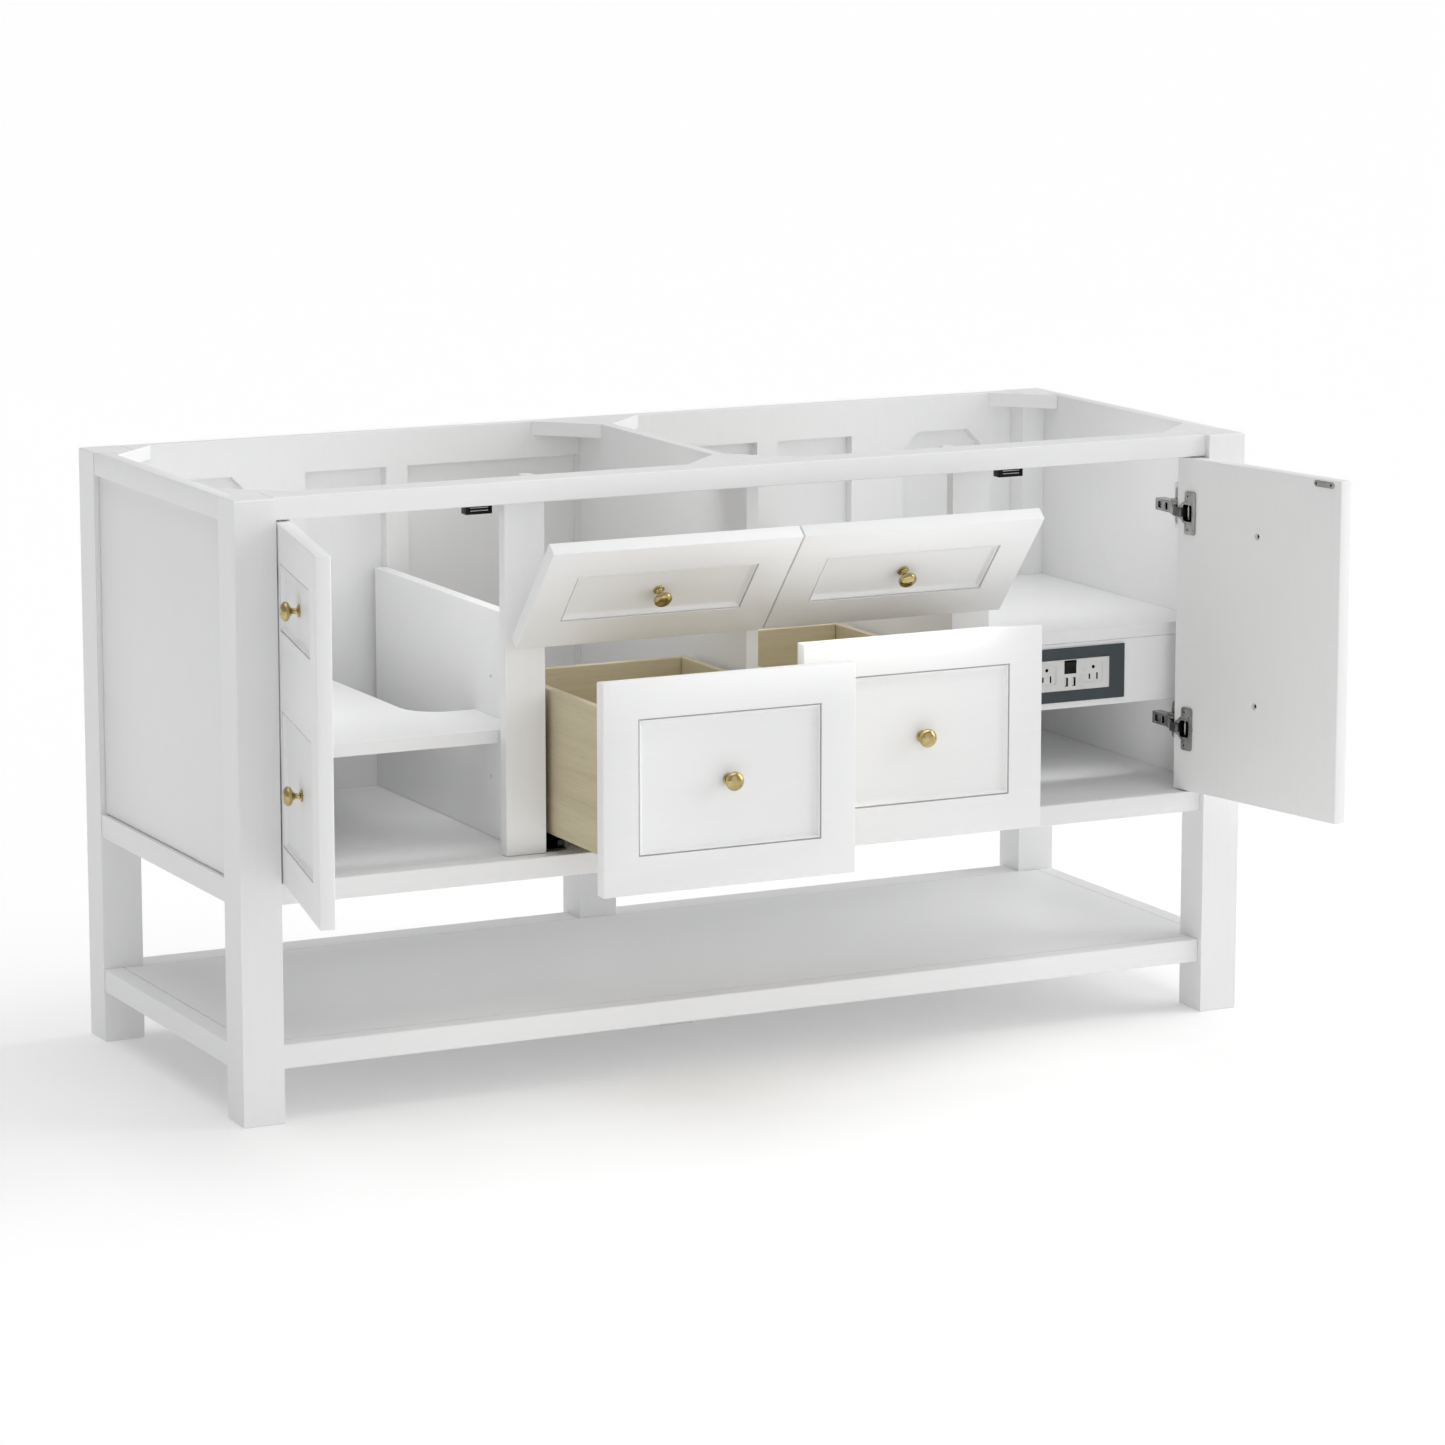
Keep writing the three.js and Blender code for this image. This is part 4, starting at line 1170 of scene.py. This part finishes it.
# ------------------------------------------------------------------------------ power unit
@dataclass
class PowerUnit:
    """Outlet strip with two outlets, two charging ports and the rocker's pocket, and a fixing bracket."""

    shop: Shop
    outlet_pitch: float = 75.6
    outlet_half: float = 14.8
    outlet_z: tuple[float, float] = (483.3, 510.4)
    earth: Row = (504.5, 2.5)
    slots: tuple[tuple[float, float, float, float], ...] = (
        (-7.4, -5.0, 487.5, 495.0), (5.0, 7.4, 486.5, 496.0))
    port_out: float = 6.1
    port_half: float = 2.5
    port_z: tuple[float, float] = (479.4, 492.0)
    tongue: Row = (-1.9, -0.2)
    hole_depth: float = 8.5
    plate_half: Row = (3.6, 14.0)
    plate_thick: float = 0.9
    rocker_clear: float = 0.5

    def strip(self) -> None:
        """Models the strip from its CAD box, cuts its openings, and paints black painted shade inside them.
        """
        finishes = self.shop.finishes
        low, high = self.shop.frame.box("outlet_strip")
        face, middle = low.y, (low.x + high.x) / 2
        body = Bench.block("strip", low, high, 0.6, 3)
        deep = face + self.hole_depth
        for sign in (-1, 1):
            x = middle + sign * self.outlet_pitch / 2
            z0, z1 = self.outlet_z
            Bench.cut(body, Bench.plate("outlet", (x - self.outlet_half, face - 1, z0),
                                        (x + self.outlet_half, face + 0.9, z1), (0, 1, 0), 1.6, 0.0))
            hole = Bench.turned("earth", [(self.earth[1], 0.0), (self.earth[1], 12.0)], 20)
            Bench.cut(body, Bench.moved(hole, shift(x, deep, self.earth[0]) @ FACING_FRONT))
            for x0, x1, slot_low, slot_high in self.slots:
                Bench.cut(body, Bench.block("slot", (x + x0, face - 1, slot_low),
                                            (x + x1, deep, slot_high), 0.0))
            x = middle + sign * self.port_out
            Bench.cut(body, Bench.block("port", (x - self.port_half, face - 1, self.port_z[0]),
                                        (x + self.port_half, deep, self.port_z[1]), 0.0))
        rocker_low, rocker_high = self.shop.frame.box("rocker_switch")
        gap, axle = self.rocker_clear, self.shop.frame.joints["power_switch_rocker"]["pos_m"][2] / MM
        half = max(rocker_high.z - axle, axle - rocker_low.z) + gap
        Bench.cut(body, Bench.block("pocket", (rocker_low.x - gap, face - 1, axle - half),
                                    (rocker_high.x + gap, face + 11, axle + half), 0.0))
        Bench.soften(body, 0.15, 1, 50.0)
        finishes.dress(body, finishes.outlet, 30.0)
        # Painted shade: the walls and floors of the outlet slots, earth holes, charging ports and rocker
        # pocket are painted black.
        Bench.paint_faces(body, finishes.of(finishes.black), lambda centre, normal: (
            face + 1.05 < centre.y < face + 11.4 and abs(centre.x - middle) < 60.0
            and low.z + 2.0 < centre.z < high.z - 1.0))
        tongues = []
        for sign in (-1, 1):
            x = middle + sign * self.port_out
            tongue = Bench.block("tongue", (x + self.tongue[0], face + 0.8, self.port_z[0] + 0.9),
                                 (x + self.tongue[1], deep + 0.3, self.port_z[1] - 0.9), 0.2)
            tongues.append(Bench.paint(tongue, finishes.of(finishes.outlet)))
        self.shop.fit(Bench.joined("moulded_outlet_strip", body, *tongues), Body.CABINET, "outlet_plastic",
                      "outlet_strip")

    def bracket(self) -> None:
        """Models the small plate that fixes the power box at its right end, with two screws."""
        finishes = self.shop.finishes
        low, high = self.shop.frame.box("power_box")
        x, z = high.x - 13.0, low.z + 21.0
        wide, tall = self.plate_half
        front = low.y - self.plate_thick
        plate = Bench.plate("plate", (x - wide, front, z - tall), (x + wide, low.y, z + tall), (0, 1, 0), 2.4)
        finishes.dress(plate, finishes.paint_z)
        screws = ScrewHead(finishes, radius=2.3, rise=0.6, slot_length=2.6, slot_width=0.9)
        heads = [screws.at("head", shift(x, front, z + out) @ FACING_FRONT) for out in (-4.0, 8.0)]
        screws.discard()
        self.shop.fit(Bench.joined("power_box_bracket", plate, *heads), Body.CABINET, "nickel")

    def build(self) -> None:
        """Makes the strip and the bracket."""
        self.strip()
        self.bracket()


# ------------------------------------------------------------------------------ drawers
@dataclass
class Drawers:
    """Plywood drawer boxes on undermount slides."""

    shop: Shop
    wall: float = 12.0
    bottom_low: float = 12.0
    bottom_thick: float = 8.0
    ease: float = 1.6
    bay: Row = (11.0, 310.5)
    rail_width: float = 34.0
    web_thick: float = 1.6
    web_height: float = 22.0
    track: Row = (23.0, 33.5)
    track_height: float = 14.0
    runner_width: float = 17.0
    runner_low: float = 339.5
    clip_height: float = 11.0

    def box(self, side: Side, body: Body, to_rest: Matrix) -> None:
        """Models one box from four walls and a bottom."""
        finishes = self.shop.finishes
        node = f"drawer_box_{side.word}"
        low, high = self.shop.frame.closed_box(node, to_rest)
        wall = self.wall
        walls = []
        for x in (low.x, high.x - wall):
            board = Bench.block("side_wall", (x, low.y, low.z), (x + wall, high.y, high.z), self.ease, 3)
            Bench.paint(board, finishes.of(finishes.ply_y))
            Bench.paint_faces(board, finishes.of(finishes.edge_y),
                              lambda centre, normal: abs(normal.z) > 0.75 or abs(normal.y) > 0.75)
            walls.append(board)
        for y in (low.y, high.y - wall):
            board = Bench.block("end_wall", (low.x + wall + 0.05, y + 0.1, low.z + 0.1),
                                (high.x - wall - 0.05, y + wall - 0.1, high.z - 0.1), self.ease, 3)
            Bench.paint(board, finishes.of(finishes.ply_x))
            Bench.paint_faces(board, finishes.of(finishes.edge_x),
                              lambda centre, normal: abs(normal.z) > 0.75)
            walls.append(board)
        base = Bench.block("base", (low.x + wall - 0.2, low.y + wall - 0.2, low.z + self.bottom_low),
                           (high.x - wall + 0.2, high.y - wall + 0.2,
                            low.z + self.bottom_low + self.bottom_thick), 0.3)
        Bench.paint(base, finishes.of(finishes.ply_x))
        piece = Bench.joined(f"ply_{node}", *walls, base)
        Bench.smooth(piece, 40.0)
        self.shop.fit(Bench.moved(piece, to_rest), body, "birch_ply", node)

    def slides(self, side: Side, body: Body, to_rest: Matrix) -> None:
        """Models the two slides of one box: a rail on the cabinet and a runner under the box."""
        finishes = self.shop.finishes
        low, high = self.shop.frame.closed_box(f"drawer_box_{side.word}", to_rest)
        floor = self.shop.frame.box("cabinet_floor")[1].z
        bay = sorted(side.value * edge for edge in self.bay)
        for edge, outward in ((bay[0], 1), (bay[1], -1)):
            label = "inner" if abs(edge) < 100 else "outer"
            span = sorted((edge, edge + outward * self.rail_width))
            front, rear = low.y + 6, high.y + 4
            base = Bench.block("rail", (span[0], front, floor + 2), (span[1], rear, floor + 3.6), 0.3)
            web_x = sorted((edge, edge + outward * self.web_thick))
            web = Bench.block("web", (web_x[0], front, floor + 2),
                              (web_x[1], rear, floor + self.web_height), 0.3)
            track_x = sorted(edge + outward * out for out in self.track)
            track = Bench.block("track", (track_x[0], front + 6, floor + 3.4),
                                (track_x[1], rear - 6, floor + self.track_height), 1.2)
            rail = Bench.joined(f"slide_rail_{side.word}_{label}", base, web, track)
            finishes.dress(rail, finishes.blackened)
            self.shop.fit(rail, Body.CABINET, "nickel")
            run_x = sorted((low.x + self.wall + 1, low.x + self.wall + 1 + self.runner_width)
                           if outward > 0 else
                           (high.x - self.wall - 1 - self.runner_width, high.x - self.wall - 1))
            runner = Bench.block("runner", (run_x[0], low.y + self.wall + 1.5, self.runner_low),
                                 (run_x[1], high.y - 3, low.z + self.bottom_low - 0.4), 1.0)
            Bench.hollow(runner, lambda centre, normal: normal.z < -0.99, 2.0, 3.0)
            clip_x = sorted((low.x + 1.0, low.x + 5.0) if outward > 0 else (high.x - 5.0, high.x - 1.0))
            clip = Bench.block("clip", (clip_x[0], low.y + 3.5, low.z - self.clip_height),
                               (clip_x[1], low.y + 10.0, low.z - 0.2), 0.6)
            piece = Bench.joined(f"slide_runner_{side.word}_{label}", runner, clip)
            finishes.dress(piece, finishes.blackened)
            self.shop.fit(Bench.moved(piece, to_rest), body, "nickel")

    def build(self) -> None:
        """Makes both boxes and their slides."""
        for side, body in ((Side.LEFT, Body.LEFT_DRAWER), (Side.RIGHT, Body.RIGHT_DRAWER)):
            to_rest = self.shop.frame.to_rest(f"{side.word}_drawer_slide", ClosedAt.HIGH)
            self.box(side, body, to_rest)
            self.slides(side, body, to_rest)


# ------------------------------------------------------------------------------ carcass
@dataclass
class Carcass:
    """Painted frame pieces: they keep their CAD shape and take their paint by the way they run."""

    shop: Shop
    block_half: float = 9.3
    block_depth: float = 20.0
    block_height: float = 24.0
    block_x: float = 319.5
    lengthwise: tuple[str, ...] = ("rail", "floor", "lower_shelf", "shelf_", "power_box", "brace")

    def glue_block(self, side: Side) -> None:
        """Models the half-round block behind the top rail, over a stile."""
        finishes = self.shop.finishes
        low, high = self.shop.frame.box("front_rail_top")
        x = side.value * self.block_x
        piece = Bench.plate(f"glue_block_{side.word}",
                            (x - self.block_half, high.y + 0.1 - 9.0, high.z - self.block_height),
                            (x + self.block_half, high.y + self.block_depth, high.z), (0, 0, 1),
                            self.block_half - 0.3, 0.4)
        tool = Bench.block("flat", (x - 20, high.y - 20, low.z - 50),
                           (x + 20, high.y + 0.3, high.z + 10), 0.0)
        Bench.cut(piece, tool)
        finishes.dress(piece, finishes.paint_z)
        self.shop.fit(piece, Body.CABINET, "white_paint")

    def build(self) -> None:
        """Paints the CAD nodes that stay and adds the glue blocks."""
        finishes = self.shop.finishes
        special = {"power_bezel": finishes.slate, "rocker_switch": finishes.black}
        for name, node in self.shop.frame.nodes.items():
            if node.hide_render:
                continue
            finish = special.get(name) or (
                finishes.paint_x if any(word in name for word in self.lengthwise) else finishes.paint_z)
            Bench.paint(node, finishes.of(finish))
            LOG.info("%s: keeps its CAD shape, finish %s", name, finish.name)
        for side in Side:
            self.glue_block(side)


# ------------------------------------------------------------------------------ studio
@dataclass
class Studio:
    """Pale floor, soft light and the camera."""

    eye: Point = (-3241.3, -6687.3, 1813.9)
    heading: float = 26.4497
    pitch: float = 10.5407
    focal: float = 133.63
    sky: float = 0.42
    suns: tuple[tuple[str, Point, float, float], ...] = (
        ("soft_top", (0.0, 0.0, 1.0), 0.93, 60.0), ("soft_front", (0.1, -1.0, 0.25), 0.24, 50.0),
        ("soft_right", (1.0, -0.2, 0.4), 1.68, 50.0))
    fills: tuple[tuple[str, Point, Point, Row, float], ...] = (
        ("fill_right_bay", (515.0, -150.0, 395.0), (0.0, -1.0, -0.15), (300.0, 80.0), 0.14),
        ("fill_left_bay", (-515.0, -222.0, 410.0), (0.0, -1.0, 0.25), (300.0, 80.0), 0.06),
        ("fill_right_sink", (380.0, -190.0, 790.0), (0.0, -0.96, 0.28), (560.0, 50.0), 0.36),
        ("fill_left_sink", (-380.0, -190.0, 790.0), (0.0, -0.96, 0.28), (560.0, 50.0), 0.36),
        ("fill_open_shelf", (0.0, 0.0, 288.0), (0.0, 0.0, 1.0), (1200.0, 400.0), 0.24),
        ("fill_tilt_fronts", (0.0, -700.0, 640.0), (0.0, -0.6, -0.8), (700.0, 60.0), 0.24),
        ("fill_drawers", (0.0, -430.0, 640.0), (0.0, 0.0, 1.0), (600.0, 60.0), 0.2),
        ("fill_low_front", (0.0, -500.0, 5.0), (0.0, -0.35, -0.94), (1300.0, 40.0), 0.24))
    glow: float = 0.14
    floor_tint: Colour = (0.93, 0.93, 0.93)
    floor_half: float = 90000.0

    def floor(self) -> None:
        """A large pale floor under the cabinet."""
        Bench.clear()
        bpy.ops.mesh.primitive_plane_add(size=2 * self.floor_half * MM, location=(0.0, 0.0, 0.0))
        floor = Bench.settle(bpy.context.object)
        floor.name = "studio_floor"
        recipe = Recipe("studio_floor")
        cloud = recipe.noise(0.8, 2.0)
        recipe.colour(recipe.blend(cloud, scaled(self.floor_tint, 0.995), self.floor_tint))
        recipe.set(Roughness=0.9, Specular_IOR_Level=0.1, Emission_Color=(1.0, 1.0, 1.0, 1.0),
                   Emission_Strength=self.glow)
        Bench.paint(floor, recipe.material)

    @staticmethod
    def lamp(name: str, kind: str, energy: float, towards: Point, place: Point) -> bpy.types.Object:
        """Adds a lamp that shines from a direction and stays out of the picture.

        Args:
            name: its name.
            kind: SUN or AREA.
            energy: its strength.
            towards: direction from the cabinet to the lamp.
            place: where it hangs, in millimetres.

        Returns:
            The lamp.
        """
        data = bpy.data.lights.new(name, kind)
        data.energy = energy
        lamp = bpy.data.objects.new(name, data)
        lamp.location = Vector(place) * MM
        lamp.rotation_euler = Vector(towards).to_track_quat("Z", "Y").to_euler()
        lamp.visible_camera = False
        bpy.context.scene.collection.objects.link(lamp)
        return lamp

    def light(self) -> None:
        """An even sky, three broad soft lights, and weak fills round the openings."""
        world = bpy.data.worlds.new("studio_sky")
        world.use_nodes = True
        back = world.node_tree.nodes["Background"]
        back.inputs["Color"].default_value = (1.0, 1.0, 1.0, 1.0)
        back.inputs["Strength"].default_value = self.sky
        bpy.context.scene.world = world
        for name, towards, energy, spread in self.suns:
            self.lamp(name, "SUN", energy, towards, (0.0, 0.0, 3000.0)).data.angle = math.radians(spread)
        for name, place, towards, size, energy in self.fills:
            data = self.lamp(name, "AREA", energy, towards, place).data
            data.shape, data.size, data.size_y = "RECTANGLE", size[0] * MM, size[1] * MM

    def camera(self) -> None:
        """The camera, front left of the cabinet and above it."""
        lens = bpy.data.cameras.new("camera")
        lens.lens, lens.sensor_width = self.focal, 36.0
        lens.clip_start, lens.clip_end = 0.1, 400.0
        camera = bpy.data.objects.new("camera", lens)
        camera.location = Vector(self.eye) * MM
        camera.rotation_euler = (math.radians(90.0 - self.pitch), 0.0, math.radians(-self.heading))
        bpy.context.scene.collection.objects.link(camera)
        bpy.context.scene.camera = camera

    def build(self) -> None:
        """Sets up floor, light, camera and the plain colour transform."""
        self.floor()
        self.light()
        self.camera()
        bpy.context.scene.view_settings.view_transform = "Standard"


def main() -> None:
    """Builds the sub-assemblies in order."""
    logging.basicConfig(level=logging.INFO, format="%(name)s: %(message)s")
    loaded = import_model()
    shop = Shop(Frame(loaded), Finishes())
    Studio().build()
    for assembly in (KnobSet, CupHinge, Catches, Fronts, SideFrames, PowerUnit, Drawers, Carcass):
        LOG.info("%s", assembly.__name__)
        assembly(shop).build()
    Bench.clear()


if __name__ == "__main__":
    main()
